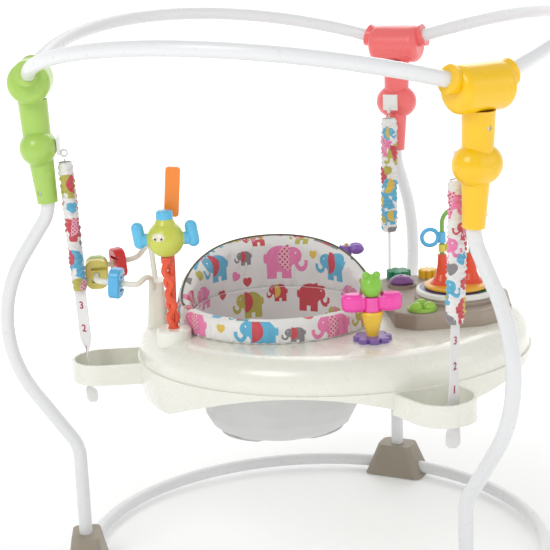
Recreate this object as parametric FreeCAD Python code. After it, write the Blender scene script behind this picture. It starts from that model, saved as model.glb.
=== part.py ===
import FreeCAD, Part
import math
import os

V = FreeCAD.Vector

# Activity jumper, millimetres. Origin on the floor at the frame's axis, +Z up, +X towards the
# toy panel's side, +Y towards the seat's high back. Three posts stand 120 degrees apart.

# ---- driving dimensions -------------------------------------------------------------------
POSTS = {"left": 180.0, "front": 300.0, "rear": 60.0}
RAILS = {"front": 180.0, "right": 300.0, "back": 60.0}

TUBE_R = 11.0
TUBE_WALL = 1.5
FIT_GAP = 0.05
BODY_GAP = 0.5

POST_FOOT_R = 384.0
POST_START_Z = 24.0
POST_LOWER_Z = 195.5
BEND_R = 60.0
BEND_TURN = 34.0
LOWER_SLOPE = 97.7
BELLY_R = 206.0
UPPER_SLOPE = 60.3
HUB_LEAN = 5.2
POST_IN_HUB = 70.0

HUB_FOOT = (405.0, 623.0)
SLEEVE_R_LOW = 16.0
SLEEVE_R_HIGH = 19.5
SLEEVE_TOP = (410.0, 690.0)
BALL = (413.0, 711.0)
BALL_TANGENTIAL = 37.0
BALL_R = 28.5
NECK_TOP = (416.5, 785.0)
NECK_R_LOW = 21.5
NECK_R_HIGH = 23.0
BARREL = (417.0, 815.0)
BARREL_R = 33.0
BARREL_HALF = 46.0
BARREL_ROUND = 13.0
COLLAR_R = 17.0
COLLAR_LIP_R = 20.0
COLLAR_HALF = 57.0
HUB_WALL = 3.0
BOSS_R = 4.5
SCREW_HEAD_R = 3.2
SCREW_HEAD = 2.5
SCREW_R = 1.6
HUB_SCREWS = ((0.0, 762.0, 436.5, 34.0), (13.5, 640.0, 415.5, 14.0))

RAIL_RISE = 70.0
RAIL_END_GAP = 22.0

FOOT_LOW = (112.0, 66.0)
FOOT_HIGH = (66.0, 46.0)
FOOT_BOTTOM = 1.5
FOOT_TOP = 60.0
FLOOR_TUBE_Z = 18.0
FLOOR_TUBE_END = 2.6
PAD = (84.0, 42.0, 4.0)

STRAP_TOP = (374.0, 700.0)
SLOT_R = 360.0
LUG_TOP_Z = 363.0
LUG_FLOOR_Z = 330.0
LUG_FLOOR = 4.0
LUG_WALL = 4.5
LUG_HALF = 50.0
LUG_TIP_R = 386.0
SLEEVE_OUT = 13.5
SLEEVE_IN = 11.8
SLEEVE_SPAN = (478.0, 686.0)
SPRING_R = 7.5
SPRING_WIRE = 1.2
SPRING_SPAN = (512.0, 684.0)
SPRING_TURNS = 18
SPRING_CAP_R = 9.3
SPRING_SINK = 1.0
WEB_WIDTH = 22.0
WEB_THICK = 2.0
WEB_TOP = 508.0
WEB_TAIL = 287.0

TRAY_CENTRE = (42.0, 0.0)
TRAY_HALF = (318.0, 275.0)
TRAY_WALL = 3.0
TRAY_TOP = 415.0
TRAY_SPLIT = 366.0
TRAY_LOW = 304.0
TRAY_SHAPE = ((366.0, 1.0), (384.0, 0.996), (400.0, 0.974), (409.5, 0.935), (414.0, 0.89), (415.0, 0.86))
ARCH_TOP = 362.0
ARCHES = ((0.0, 845.0), (98.0, 420.0), (262.0, 420.0))
SCREW_RING = 0.84

SEAT = (-48.0, 0.0)
SEAT_HOLE_R = 152.0
SEAT_RING = (140.0, 160.0)
SEAT_COLLAR = (146.0, 151.5)
PAD_R = (138.0, 160.0)
RIM_Z = (421.3, 455.0)
BACK_TOP_Z = 522.0
BACK_SIDE_Y = -10.0
SLING_SHAPE = ((420.5, 137.5, 137.5), (330.0, 131.0, 128.0), (262.0, 122.0, 112.0), (222.0, 84.0, 62.0))
SLING_WALL = 4.0
LEG_HOLE_R = 40.0
LEG_HOLE_TOP = 285.0
LEG_HOLE_SPREAD = 58.0
LEG_HOLE_Y = -8.0

PANEL_TOP = 440.0
PANEL_EDGE = ((128, -104), (160, -130), (262, -124), (316, -90), (330, 0))
PANEL_ROUND = 14.0
PIN_R = 3.0
PIN = 8.0

KNOB = (172.0, -98.0)
KNOB_R = 23.0
LOBE_R = 11.0
LOBE_REACH = 12.0
DOME = (164.0, 56.0)
DOME_R = 27.5
DOME_RISE = 20.0
BEZEL_R = (19.0, 24.0)
BEZEL_RISE = 5.0
PETALS = (166.0, 104.0)
SUN = (217.0, 108.0)
TURRET = (240.0, -30.0)
HOOP_HALF = 23.0
HOOP_TUBE_R = 3.5
FRONT_TOY = (84.0, -164.0)
BACK_TOY = (85.0, 165.0)
BUG = (-217.0, -88.0)
BUG_HEAD = (-222.0, -88.0, 573.0)
RAIL_R = 4.5
BRACKET = (-243.0, 15.0)
BEAD_RAIL = (
    (-246, 2, 462), (-252, -22, 505), (-271, -34, 489), (-337, -16, 495),
    (-339, 64, 499), (-274, 92, 505), (-250, 62, 538), (-243, 28, 470),
)
BEADS = {
    "blue": ((-305.0, -24.7, 492.1), (-66, 18, 6)),
    "yellow": ((-338.0, 24.5, 497.0), (-2, 80, 4)),
    "green": ((-338.5, 43.5, 498.0), (-2, 80, 4)),
    "red": ((-305.0, 78.6, 502.1), (65, 28, 6)),
}
BEAD_HALF = (24.0, 18.0, 9.0)


# ---- helpers ------------------------------------------------------------------------------
def spun(shape, angle):
    """A copy turned about the frame's axis."""
    copy = shape.copy()
    copy.rotate(V(0, 0, 0), V(0, 0, 1), angle)
    return copy


def fused(shapes):
    whole = shapes[0]
    if len(shapes) > 1:
        whole = shapes[0].multiFuse(shapes[1:])
    return whole.removeSplitter()


def rod(low, high, radius):
    run = V(*high) - V(*low)
    return Part.makeCylinder(radius, run.Length, V(*low), run)


def taper(low, low_r, high, high_r):
    run = V(*high) - V(*low)
    return Part.makeCone(low_r, high_r, run.Length, V(*low), run)


def disc(x, y, low, high, radius):
    return Part.makeCylinder(radius, high - low, V(x, y, low))


def ring(x, y, low, high, inner, outer):
    return disc(x, y, low, high, outer).cut(disc(x, y, low - 1, high + 1, inner))


def block(low, high):
    size = V(*high) - V(*low)
    return Part.makeBox(size.x, size.y, size.z, V(*low))


def egg(centre, across, along, axis=(0, 0, 1)):
    """A ball drawn out or flattened along one axis."""
    if along >= across:
        whole = Part.Ellipse(V(0, 0, along), V(across, 0, 0), V(0, 0, 0))
        curve = Part.ArcOfEllipse(whole, 0, math.pi).toShape()
    else:
        whole = Part.Ellipse(V(across, 0, 0), V(0, 0, along), V(0, 0, 0))
        curve = Part.ArcOfEllipse(whole, -math.pi / 2, math.pi / 2).toShape()
    chord = Part.LineSegment(V(0, 0, -along), V(0, 0, along)).toShape()
    solid = Part.Face(Part.Wire(Part.__sortEdges__([curve, chord]))).revolve(V(0, 0, 0), V(0, 0, 1), 360)
    solid.Placement = FreeCAD.Placement(V(*centre), FreeCAD.Rotation(V(0, 0, 1), V(*axis)))
    return solid


def pill(centre, radius, half, axis):
    """A short round bar with ball ends."""
    flat = half - radius
    ends = [Part.makeSphere(radius, V(0, 0, z)) for z in (-flat, flat)]
    solid = fused([Part.makeCylinder(radius, 2 * flat, V(0, 0, -flat))] + ends)
    solid.Placement = FreeCAD.Placement(V(*centre), FreeCAD.Rotation(V(0, 0, 1), V(*axis)))
    return solid


def lozenge(centre, major, minor, thick, edge):
    """A flat oval slab with rounded edges, lying level."""
    x, y, z = centre
    oval = Part.Wire(Part.Ellipse(V(x, y, z - thick / 2), major, minor).toShape())
    slab = Part.Face(oval).extrude(V(0, 0, thick))
    return slab.makeFillet(edge, [e for e in slab.Edges if e.BoundBox.ZLength < 0.01])


def revolved(outline, x, y):
    """A closed outline of (radius, height) points turned about the upright line at x, y."""
    wire = Part.makePolygon([V(r, 0, z) for r, z in outline] + [V(outline[0][0], 0, outline[0][1])])
    solid = Part.Face(wire).revolve(V(0, 0, 0), V(0, 0, 1), 360)
    solid.translate(V(x, y, 0))
    return solid


def softened(shape, radius, wanted):
    """Rounds the edges that the test picks."""
    edges = [edge for edge in shape.Edges if wanted(edge)]
    return shape.makeFillet(radius, edges)


def at_height(z):
    """Picks the edges that lie wholly at one height."""
    return lambda edge: abs(edge.BoundBox.ZMin - z) < 0.01 and abs(edge.BoundBox.ZMax - z) < 0.01


def rounded_rectangle(x, y, width, depth, corner, z):
    """A closed wire with round corners, centred on x, y."""
    hw = width / 2
    hd = depth / 2
    corners = [V(x - hw, y - hd, z), V(x + hw, y - hd, z), V(x + hw, y + hd, z), V(x - hw, y + hd, z)]
    return rounded_outline(corners, corner)


def corner_arc(before, corner, after, radius):
    """The tangent arc at a corner, as its start, middle and end points."""
    back = (before - corner).normalize()
    ahead = (after - corner).normalize()
    half = back.getAngle(ahead) / 2
    reach = radius / math.tan(half)
    middle = (back + ahead).normalize() * (radius / math.sin(half) - radius)
    return corner + back * reach, corner + middle, corner + ahead * reach


def rounded_outline(corners, radius):
    """A closed wire: straight sides joined by tangent arcs."""
    count = len(corners)
    arcs = [corner_arc(corners[i - 1], corners[i], corners[(i + 1) % count], radius) for i in range(count)]
    edges = []
    for i in range(count):
        edges.append(Part.Arc(*arcs[i]).toShape())
        edges.append(Part.LineSegment(arcs[i][2], arcs[(i + 1) % count][0]).toShape())
    return Part.Wire(edges)


def rounded_route(points, radius):
    """An open wire: straight runs joined by tangent arcs."""
    spots = [V(*point) for point in points]
    arcs = [corner_arc(spots[i - 1], spots[i], spots[i + 1], radius) for i in range(1, len(spots) - 1)]
    edges = []
    here = spots[0]
    for arc in arcs:
        edges.append(Part.LineSegment(here, arc[0]).toShape())
        edges.append(Part.Arc(*arc).toShape())
        here = arc[2]
    edges.append(Part.LineSegment(here, spots[-1]).toShape())
    return Part.Wire(edges)


def bent_route(start, heading, steps):
    """A wire in the XZ plane from lines (length,) and arcs (radius, turn in degrees)."""
    x, z = start
    angle = math.radians(heading)
    edges = []
    for step in steps:
        if len(step) == 1:
            end = (x + step[0] * math.cos(angle), z + step[0] * math.sin(angle))
            edges.append(Part.LineSegment(V(x, 0, z), V(end[0], 0, end[1])).toShape())
        else:
            radius, turn = step
            side = math.copysign(1.0, turn)
            centre = (x - side * radius * math.sin(angle), z + side * radius * math.cos(angle))
            spots = []
            for part in (0.5, 1.0):
                facing = angle + math.radians(turn) * part
                spots.append((centre[0] + side * radius * math.sin(facing),
                              centre[1] - side * radius * math.cos(facing)))
            end = spots[1]
            edges.append(Part.Arc(V(x, 0, z), V(spots[0][0], 0, spots[0][1]), V(end[0], 0, end[1])).toShape())
            angle += math.radians(turn)
        x, z = end
    return Part.Wire(edges)


def swept(route, radius):
    """A round bar along a route."""
    first = route.OrderedEdges[0]
    start = first.valueAt(first.FirstParameter)
    facing = first.tangentAt(first.FirstParameter)
    if first.Orientation == "Reversed":
        start = first.valueAt(first.LastParameter)
        facing = first.tangentAt(first.LastParameter)
    section = Part.Wire(Part.makeCircle(radius, start, facing))
    return route.makePipeShell([section], True, False)


def tube(route, radius, wall):
    return swept(route, radius).cut(swept(route, radius - wall))


def pin_hole(x, y, low, depth):
    """The blind bore in a spinning toy that its fixed pin runs in."""
    return disc(x, y, low - 0.1, low + depth + 0.5, PIN_R + FIT_GAP)


# ---- frame --------------------------------------------------------------------------------
def post_route():
    """Centreline of a post: upright at the foot, bowed out round the tray, leaning at the hub."""
    steps = (
        (POST_LOWER_Z - POST_START_Z,),
        (BEND_R, -BEND_TURN),
        (LOWER_SLOPE,),
        (BELLY_R, 2 * BEND_TURN),
        (UPPER_SLOPE,),
        (BEND_R, -BEND_TURN - HUB_LEAN),
        (POST_IN_HUB,),
    )
    return bent_route((POST_FOOT_R, POST_START_Z), 90, steps)


def rail_circle():
    """The circle that the top rails follow from one hub's barrel to the next."""
    r, z = BARREL
    low = V(r, 0, z)
    high = spun(Part.Vertex(V(r, 0, z)), 120).Vertexes[0].Point
    crown = spun(Part.Vertex(V(r, 0, z + RAIL_RISE)), 60).Vertexes[0].Point
    return Part.Circle(low, crown, high), low, high


def rail_route(end_gap):
    circle, low, high = rail_circle()
    trim = end_gap / circle.Radius
    start = circle.parameter(low) + trim
    stop = circle.parameter(high) - trim
    if stop < start:
        stop += 2 * math.pi
    return Part.Wire(Part.ArcOfCircle(circle, start, stop).toShape())


def barrel_solid(inset):
    """The cross barrel that holds two rail ends, about its own tangential axis."""
    radius = BARREL_R - inset
    half = BARREL_HALF - inset
    body = Part.makeCylinder(radius, 2 * half, V(BARREL[0], -half, BARREL[1]), V(0, 1, 0))
    return body.makeFillet(BARREL_ROUND - inset, [e for e in body.Edges if e.BoundBox.YLength < 0.01])


def hub_solid(inset):
    r, z = BARREL
    parts = [barrel_solid(inset)]
    parts.append(taper((BALL[0], 0, BALL[1]), NECK_R_LOW - inset, (NECK_TOP[0], 0, NECK_TOP[1]), NECK_R_HIGH - inset))
    parts.append(pill((BALL[0], 0, BALL[1]), BALL_R - inset, BALL_TANGENTIAL - inset, (0, 1, 0)))
    return fused(parts)


def hub_collars():
    """Flared sockets at both ends of the barrel, in line with the rails."""
    circle, low, high = rail_circle()
    facing = circle.tangent(circle.parameter(low))[0]
    mouth = low + facing * COLLAR_HALF
    inner = low + facing * (BARREL_HALF - BARREL_ROUND)
    collar = taper(tuple(inner), COLLAR_R, tuple(mouth), COLLAR_LIP_R)
    return [collar, collar.mirror(V(0, 0, 0), V(0, 1, 0))]


def hub_screw(spot, grow):
    """A screw from the outer face inwards; grow above 0 makes the hole that it sits in."""
    y, z, face, length = spot
    outer = face + 30.0 if grow > 0 else face
    head = rod((face - SCREW_HEAD - grow, y, z), (outer, y, z), SCREW_HEAD_R + grow)
    shank = rod((face - SCREW_HEAD - length - grow, y, z), (face - SCREW_HEAD, y, z), SCREW_R + grow)
    return fused([head, shank])


def hub_halves():
    """Outer and inner shells of one hub, split along the post's axis."""
    sleeve = taper((HUB_FOOT[0], 0, HUB_FOOT[1]), SLEEVE_R_LOW, (SLEEVE_TOP[0], 0, SLEEVE_TOP[1]), SLEEVE_R_HIGH)
    cavity = hub_solid(HUB_WALL).cut(sleeve)
    y, z, face, length = HUB_SCREWS[0]
    boss = rod((NECK_TOP[0] - 2 * NECK_R_LOW, y, z), (face + SCREW_HEAD, y, z), BOSS_R)
    whole = fused([hub_solid(0.0), sleeve] + hub_collars()).cut(cavity.cut(boss))
    rail = swept(rail_route(0.0), TUBE_R + FIT_GAP)
    whole = whole.cut(rail).cut(spun(rail, -120))
    whole = whole.cut(swept(post_route(), TUBE_R + FIT_GAP))
    for spot in HUB_SCREWS:
        whole = whole.cut(hub_screw(spot, FIT_GAP))
    whole = whole.cut(clip_peg(FIT_GAP))
    halves = []
    for low_x, high_x in ((0, 200), (-200, 0)):
        side = block((HUB_FOOT[0] + low_x, -100, 500), (HUB_FOOT[0] + high_x, 100, 950))
        side.rotate(V(HUB_FOOT[0], 0, HUB_FOOT[1]), V(0, 1, 0), HUB_LEAN)
        halves.append(whole.common(side))
    return halves


def foot_solid():
    """A wedge foot that holds the post and two floor tube ends."""
    low = rounded_rectangle(POST_FOOT_R, 0, FOOT_LOW[1], FOOT_LOW[0], 12, FOOT_BOTTOM)
    high = rounded_rectangle(POST_FOOT_R, 0, FOOT_HIGH[1], FOOT_HIGH[0], 12, FOOT_TOP)
    foot = Part.makeLoft([low, high], True, True)
    foot = foot.cut(disc(POST_FOOT_R, 0, POST_START_Z, FOOT_TOP + 1, TUBE_R + FIT_GAP))
    floor_tube = swept(floor_route(), TUBE_R + FIT_GAP)
    foot = foot.cut(floor_tube).cut(spun(floor_tube, -120))
    return foot.cut(pad_solid())


def pad_solid():
    """A rubber pad let into the foot's underside."""
    width, depth, height = PAD
    wire = rounded_rectangle(POST_FOOT_R, 0, depth, width, 8, 0)
    return Part.Face(wire).extrude(V(0, 0, height))


def floor_route():
    """A floor tube's arc, from one foot to the next."""
    edge = Part.makeCircle(POST_FOOT_R, V(0, 0, FLOOR_TUBE_Z), V(0, 0, 1), FLOOR_TUBE_END, 120 - FLOOR_TUBE_END)
    return Part.Wire(edge)


# ---- straps -------------------------------------------------------------------------------
def strap_r(z):
    """Distance of a strap's centreline from the frame's axis at a height."""
    top_r, top_z = STRAP_TOP
    return SLOT_R + (top_r - SLOT_R) * (z - LUG_TOP_Z) / (top_z - LUG_TOP_Z)


def clip_peg(grow):
    """The peg that fixes a strap clip in the hub's inner face."""
    return rod((380, 0, BALL[1] + 4), (391, 0, BALL[1] + 4), 3.5 + grow)


def strap_clip():
    """Plate, peg and eye that a strap hangs from."""
    plate = block((379.5, -13.5, BALL[1] - 12), (384.0, 13.5, BALL[1] + 16))
    eye = Part.makeTorus(5.0, 1.6, V(STRAP_TOP[0], 0, STRAP_TOP[1]), V(0, 1, 0))
    return fused([plate, clip_peg(0.0), eye])


def strap_spring():
    """A drawn-out tension spring with closed ends, on the strap's centreline."""
    low_z, high_z = SPRING_SPAN
    low = V(strap_r(low_z), 0, low_z)
    high = V(strap_r(high_z), 0, high_z)
    length = (high - low).Length
    cap = 4.0
    rise = length - 2 * cap + 2 * SPRING_SINK
    coil = Part.makeHelix(rise / SPRING_TURNS, rise, SPRING_R)
    section = Part.Wire(Part.makeCircle(SPRING_WIRE, V(SPRING_R, 0, 0), V(0, 1, 0)))
    wire = Part.Wire(coil).makePipeShell([section], True, True)
    wire.translate(V(0, 0, cap - SPRING_SINK))
    ends = [disc(0, 0, 0, cap, SPRING_CAP_R), disc(0, 0, length - cap, length, SPRING_CAP_R)]
    link = disc(0, 0, length, length + 7.0, SPRING_WIRE)
    spring = fused([wire, link] + ends)
    spring.rotate(V(0, 0, 0), V(0, 1, 0), math.degrees(math.atan2(high.x - low.x, high.z - low.z)))
    spring.translate(low)
    return spring


def strap_sleeve():
    """The fabric sleeve round a spring."""
    low, high = [(strap_r(z), 0, z) for z in SLEEVE_SPAN]
    return rod(low, high, SLEEVE_OUT).cut(rod(low, high, SLEEVE_IN))


def webbing():
    """Flat strap from the spring through the lug's slot to its hanging tail."""
    half = WEB_THICK / 2
    spots = [(strap_r(WEB_TOP), WEB_TOP), (SLOT_R, LUG_TOP_Z), (SLOT_R, WEB_TAIL)]
    outline = [(r - half, z) for r, z in spots] + [(r + half, z) for r, z in reversed(spots)]
    corners = [V(r, -WEB_WIDTH / 2, z) for r, z in outline]
    return Part.Face(Part.makePolygon(corners + [corners[0]])).extrude(V(0, WEB_WIDTH, 0))


def strap_toggle():
    """The stop bar under a lug, threaded on the webbing."""
    top = LUG_FLOOR_Z - 0.3
    bar = block((SLOT_R - 8, -17, top - 7), (SLOT_R + 8, 17, top))
    bar = softened(bar, 2.0, lambda edge: edge.BoundBox.YLength > 30)
    gap = block((SLOT_R - 1.6, -WEB_WIDTH / 2 - 0.6, top - 10), (SLOT_R + 1.6, WEB_WIDTH / 2 + 0.6, top + 1))
    return bar.cut(gap)


# ---- tray ---------------------------------------------------------------------------------
def tray_oval(z, share, inset):
    x, y = TRAY_CENTRE
    major, minor = TRAY_HALF
    oval = Part.Ellipse(V(x, y, z), major * share - inset, minor * share - inset)
    return Part.Wire(oval.toShape())


def tray_volume(inset):
    """The upper shell's outer form, or the same form drawn in by a wall."""
    sections = [tray_oval(z - inset, share, inset) for z, share in TRAY_SHAPE]
    return Part.makeLoft(sections, True, False)


def screw_spots():
    """Where the two tray shells are screwed together."""
    spots = []
    for angle in range(20, 380, 60):
        a = math.radians(angle)
        spots.append((TRAY_CENTRE[0] + TRAY_HALF[0] * SCREW_RING * math.cos(a),
                      TRAY_CENTRE[1] + TRAY_HALF[1] * SCREW_RING * math.sin(a)))
    return spots


def tray_top():
    shell = tray_volume(0.0).cut(tray_volume(TRAY_WALL))
    parts = [shell, ring(SEAT[0], SEAT[1], 402.0, TRAY_TOP, SEAT_HOLE_R, SEAT_HOLE_R + 5.0)]
    outer = tray_volume(0.0)
    for x, y in screw_spots():
        parts.append(disc(x, y, TRAY_SPLIT + 0.2, TRAY_TOP, 5.0).common(outer))
    x, y = BUG
    collar = revolved(((9, 396), (27.5, 396), (27, 428), (24.5, 431), (9, 431)), x, y)
    parts.append(collar)
    tray = fused(parts).cut(disc(SEAT[0], SEAT[1], 300, 500, SEAT_HOLE_R))
    for x, y in screw_spots():
        tray = tray.cut(disc(x, y, TRAY_SPLIT, TRAY_SPLIT + 14, 1.6))
    return tray.cut(disc(BUG[0], BUG[1], 380, 440, 9.0))


def tray_base():
    """Under shell: a skirt arched between three lugs, a deck, and the lugs themselves."""
    x, y = TRAY_CENTRE
    low, high = TRAY_LOW, TRAY_SPLIT
    outer = Part.makeLoft([tray_oval(low, 0.985, 0), tray_oval(345, 1.0, -3.0), tray_oval(high, 1.0, -3.0)], True)
    inner = Part.makeLoft([tray_oval(low - 1, 0.985, 3.2), tray_oval(345, 1.0, 0.2), tray_oval(high - 3, 1.0, 0.2)],
                          True)
    shell = outer.cut(inner)
    for angle, radius in ARCHES:
        arch = rod((100, 0, ARCH_TOP - radius), (500, 0, ARCH_TOP - radius), radius)
        shell = shell.cut(spun(arch, angle))
    pockets = []
    lugs = []
    for angle in POSTS.values():
        lugs.append(spun(lug_plan(0.0, LUG_FLOOR_Z, LUG_TOP_Z), angle).cut(inner))
        pockets.append(spun(lug_plan(LUG_WALL, LUG_FLOOR_Z + LUG_FLOOR, LUG_TOP_Z + 1), angle).cut(outer))
        slot = block((SLOT_R - 3.0, -13, LUG_FLOOR_Z - 1), (SLOT_R + 3.0, 13, LUG_TOP_Z))
        pockets.append(spun(slot, angle))
    base = fused([shell] + lugs)
    for pocket in pockets:
        base = base.cut(pocket)
    base = base.cut(disc(SEAT[0], SEAT[1], 300, 400, 150.0))
    for x, y in screw_spots():
        base = base.cut(disc(x, y, 355, 370, 1.9))
    base.fix(1e-4, 1e-4, 1e-3)
    return base


def lug_plan(inset, low, high):
    """A lug's rounded arm between two heights, drawn in by an inset."""
    half = LUG_HALF - inset
    middle = LUG_TIP_R - LUG_HALF
    arm = block((240, -half, low), (middle, half, high))
    return fused([arm, disc(middle, 0, low, high, half)])


def tray_screws():
    screws = []
    for x, y in screw_spots():
        screws.append(fused([disc(x, y, 360.2, 363.0, 3.2), disc(x, y, 363.0, 376.0, 1.55)]))
    return Part.makeCompound(screws)


# ---- seat ---------------------------------------------------------------------------------
def seat_ring():
    x, y = SEAT
    flange = ring(x, y, TRAY_TOP + BODY_GAP, 421.0, *SEAT_RING)
    collar = ring(x, y, 401.5, 418.0, *SEAT_COLLAR)
    return fused([flange, collar])


def seat_lock_ring():
    return ring(SEAT[0], SEAT[1], 396.5, 401.5, SEAT_COLLAR[0], SEAT_HOLE_R + 6.0)


def seat_rim_pad():
    inner, outer = PAD_R
    low, high = RIM_Z
    pad = ring(SEAT[0], SEAT[1], low, high, inner, outer)
    return softened(pad, 9.0, at_height(high))


def seat_back_pad():
    """The high back: a band above the rim, cut by a plane that slopes down to the sides."""
    inner, outer = PAD_R
    x, y = SEAT
    low = RIM_Z[1] + 0.4
    band = ring(x, y, low, BACK_TOP_Z + 10, inner, outer - 2.0)
    slope = math.degrees(math.atan2(BACK_TOP_Z - low, outer - BACK_SIDE_Y))
    cutter = block((x - 300, y - 400, low), (x + 300, y + 400, low + 300))
    cutter.rotate(V(x, y + BACK_SIDE_Y, low), V(1, 0, 0), slope)
    return band.cut(cutter)


def sling_volume(inset):
    x, y = SEAT
    wires = []
    for z, half_x, half_y in SLING_SHAPE:
        oval = Part.Ellipse(V(x, y, z), half_x - inset, half_y - inset)
        wires.append(Part.Wire(oval.toShape()))
    return Part.makeLoft(wires, True, False)


def seat_sling():
    """Hanging bucket with a flat bottom and a leg opening on each side of it."""
    inner = sling_volume(SLING_WALL)
    inner.translate(V(0, 0, SLING_WALL))
    cap = disc(SEAT[0], SEAT[1], SLING_SHAPE[0][0] - 1, SLING_SHAPE[0][0] + 20, SLING_SHAPE[0][1] - SLING_WALL)
    sling = sling_volume(0.0).cut(inner).cut(cap)
    for side in (-1, 1):
        x = SEAT[0] + side * LEG_HOLE_SPREAD
        sling = sling.cut(disc(x, SEAT[1] + LEG_HOLE_Y, SLING_SHAPE[-1][0] - 10, LEG_HOLE_TOP, LEG_HOLE_R))
    return sling


# ---- toys ---------------------------------------------------------------------------------
def panel_solid():
    """The raised activity panel, hollowed along the seat, with a pin under each spinning toy."""
    body = Part.Face(panel_outline(0.0, 395)).extrude(V(0, 0, PANEL_TOP - 395))
    body = body.cut(disc(SEAT[0], SEAT[1], 300, 500, PAD_R[1] + 14.0))
    body = softened(body, 4.0, at_height(PANEL_TOP)).cut(tray_volume(0.0))
    pins = [disc(x, y, PANEL_TOP - 1, PANEL_TOP + PIN, PIN_R) for x, y in (KNOB, PETALS, SUN)]
    x, y = DOME
    bezel = disc(x, y, PANEL_TOP - 1, PANEL_TOP + BEZEL_RISE, BEZEL_R[1])
    body = fused([body.cut(panel_hollow()), turret_seat(), bezel] + pins)
    return body.cut(disc(x, y, 424.0, PANEL_TOP + BEZEL_RISE + 1, BEZEL_R[0]))


def panel_outline(inset, z):
    """The panel's edge at a height, drawn in by an inset."""
    mirrored = [(x, -y) for x, y in reversed(PANEL_EDGE[:-1])]
    middle = V(235, 0, z)
    corners = []
    for x, y in list(PANEL_EDGE) + mirrored:
        corner = V(x, y, z)
        corners.append(corner + (middle - corner).normalize() * inset)
    return rounded_outline(corners, PANEL_ROUND)


def panel_hollow():
    """The space under the panel's moulded skin."""
    hollow = Part.Face(panel_outline(4.0, 390)).extrude(V(0, 0, PANEL_TOP - TRAY_WALL - 390))
    return hollow.cut(disc(SEAT[0], SEAT[1], 300, 500, PAD_R[1] + 17.0))


def key_knob():
    """A knob of three round lobes."""
    x, y = KNOB
    low = PANEL_TOP + BODY_GAP
    parts = [disc(x, y, low, low + 4, KNOB_R)]
    for angle in (90, 210, 330):
        a = math.radians(angle)
        lobe = Part.makeSphere(LOBE_R, V(x + LOBE_REACH * math.cos(a), y + LOBE_REACH * math.sin(a), low + 3))
        parts.append(lobe.common(disc(x, y, low, low + 30, 40)))
    return fused(parts).cut(pin_hole(x, y, low, PIN))


def dome_button():
    """A sprung dome that sits in a well in the panel."""
    x, y = DOME
    dome = Part.makeSphere(DOME_R, V(x, y, PANEL_TOP + DOME_RISE - DOME_R))
    dome = dome.common(disc(x, y, PANEL_TOP + BEZEL_RISE + 4.5, PANEL_TOP + 40, 30))
    return fused([dome, disc(x, y, PANEL_TOP - 8, PANEL_TOP + BEZEL_RISE + 5, 18.5)])


def petal_wheel(x, y, low, count, reach, petal, height):
    """A wheel of round petals about an upright pin."""
    parts = [disc(x, y, low, low + height, reach)]
    for i in range(count):
        a = 2 * math.pi * i / count
        parts.append(disc(x + reach * math.cos(a), y + reach * math.sin(a), low, low + height, petal))
    wheel = fused(parts)
    return softened(wheel, 2.0, at_height(low + height))


def petals():
    x, y = PETALS
    low = PANEL_TOP + BODY_GAP
    return petal_wheel(x, y, low, 7, 14.5, 6.5, 16.0).cut(pin_hole(x, y, low, PIN))


def sun():
    x, y = SUN
    low = PANEL_TOP + BODY_GAP
    return petal_wheel(x, y, low, 8, 12.0, 4.5, 14.0).cut(pin_hole(x, y, low, PIN))


def turret_seat():
    """The panel's raised ring and centre post that the turret turns on."""
    x, y = TURRET
    return revolved(((0, 430), (68, 430), (68, 444), (64, 447), (4, 447), (4, 466), (0, 466)), x, y)


def turret_disc():
    x, y = TURRET
    return revolved(((4.05, 447.5), (64, 447.5), (66, 450), (65, 455), (61, 457), (4.05, 457)), x, y)


def turret_plate():
    x, y = TURRET
    return revolved(((4.05, 457.5), (49, 457.5), (52, 459.5), (52, 462), (49, 464), (4.05, 464)), x, y)


def turret_arch():
    """Two flared horns on a bridge, which carry the hoop."""
    x, y = TURRET
    parts = [disc(x, y, 464, 470, 14.0)]
    for side in (-1, 1):
        parts.append(revolved(((0, 464), (21, 464), (15, 470), (10.5, 480), (8, 494), (7, 512), (0, 512)),
                              x + side * HOOP_HALF, y))
    arch = fused(parts).cut(disc(x, y, 463, 467, 4.6))
    for side in (-1, 1):
        arch = arch.cut(disc(x + side * HOOP_HALF, y, 500, 520, HOOP_TUBE_R))
    return arch


def hoop():
    """An upright green loop; its legs end in the horns."""
    x, y = TURRET
    route = bent_route((HOOP_HALF, 500.0), 90, ((62.0,), (HOOP_HALF, 180.0), (62.0,)))
    loop = swept(route, HOOP_TUBE_R)
    loop.translate(V(x, y, 0))
    return loop


def charm_collar(low, high):
    x = TURRET[0] - HOOP_HALF
    return ring(x, TURRET[1], low, high, HOOP_TUBE_R + 0.4, HOOP_TUBE_R + 2.4)


def charm_bore():
    """The clearance round the hoop's leg that both charms are threaded on."""
    return disc(TURRET[0] - HOOP_HALF, TURRET[1], 500, 570, HOOP_TUBE_R + 0.4)


def ring_charm():
    x = TURRET[0] - HOOP_HALF - HOOP_TUBE_R - 16.0
    loop = Part.makeTorus(13.0, 3.2, V(x, TURRET[1], 540), V(0, 1, 0))
    return fused([charm_collar(531, 548), loop]).cut(charm_bore())


def leaf_charm():
    x = TURRET[0] - HOOP_HALF + HOOP_TUBE_R + 10.0
    leaf = lozenge((0, 0, 0), 13.0, 8.0, 5.0, 1.8)
    leaf.rotate(V(0, 0, 0), V(0, 1, 0), 90)
    leaf.rotate(V(0, 0, 0), V(0, 0, 1), 90)
    leaf.translate(V(x, TURRET[1], 523))
    return fused([charm_collar(516, 528), leaf]).cut(charm_bore())


def flower_base(x, y):
    """A flat flower whose petals lie on the tray round a toy's foot."""
    base = petal_wheel(x, y, TRAY_TOP, 8, 21.5, 8.0, 8.0)
    return base.cut(disc(x, y, TRAY_TOP - 1, TRAY_TOP + 20, 9.0))


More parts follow.
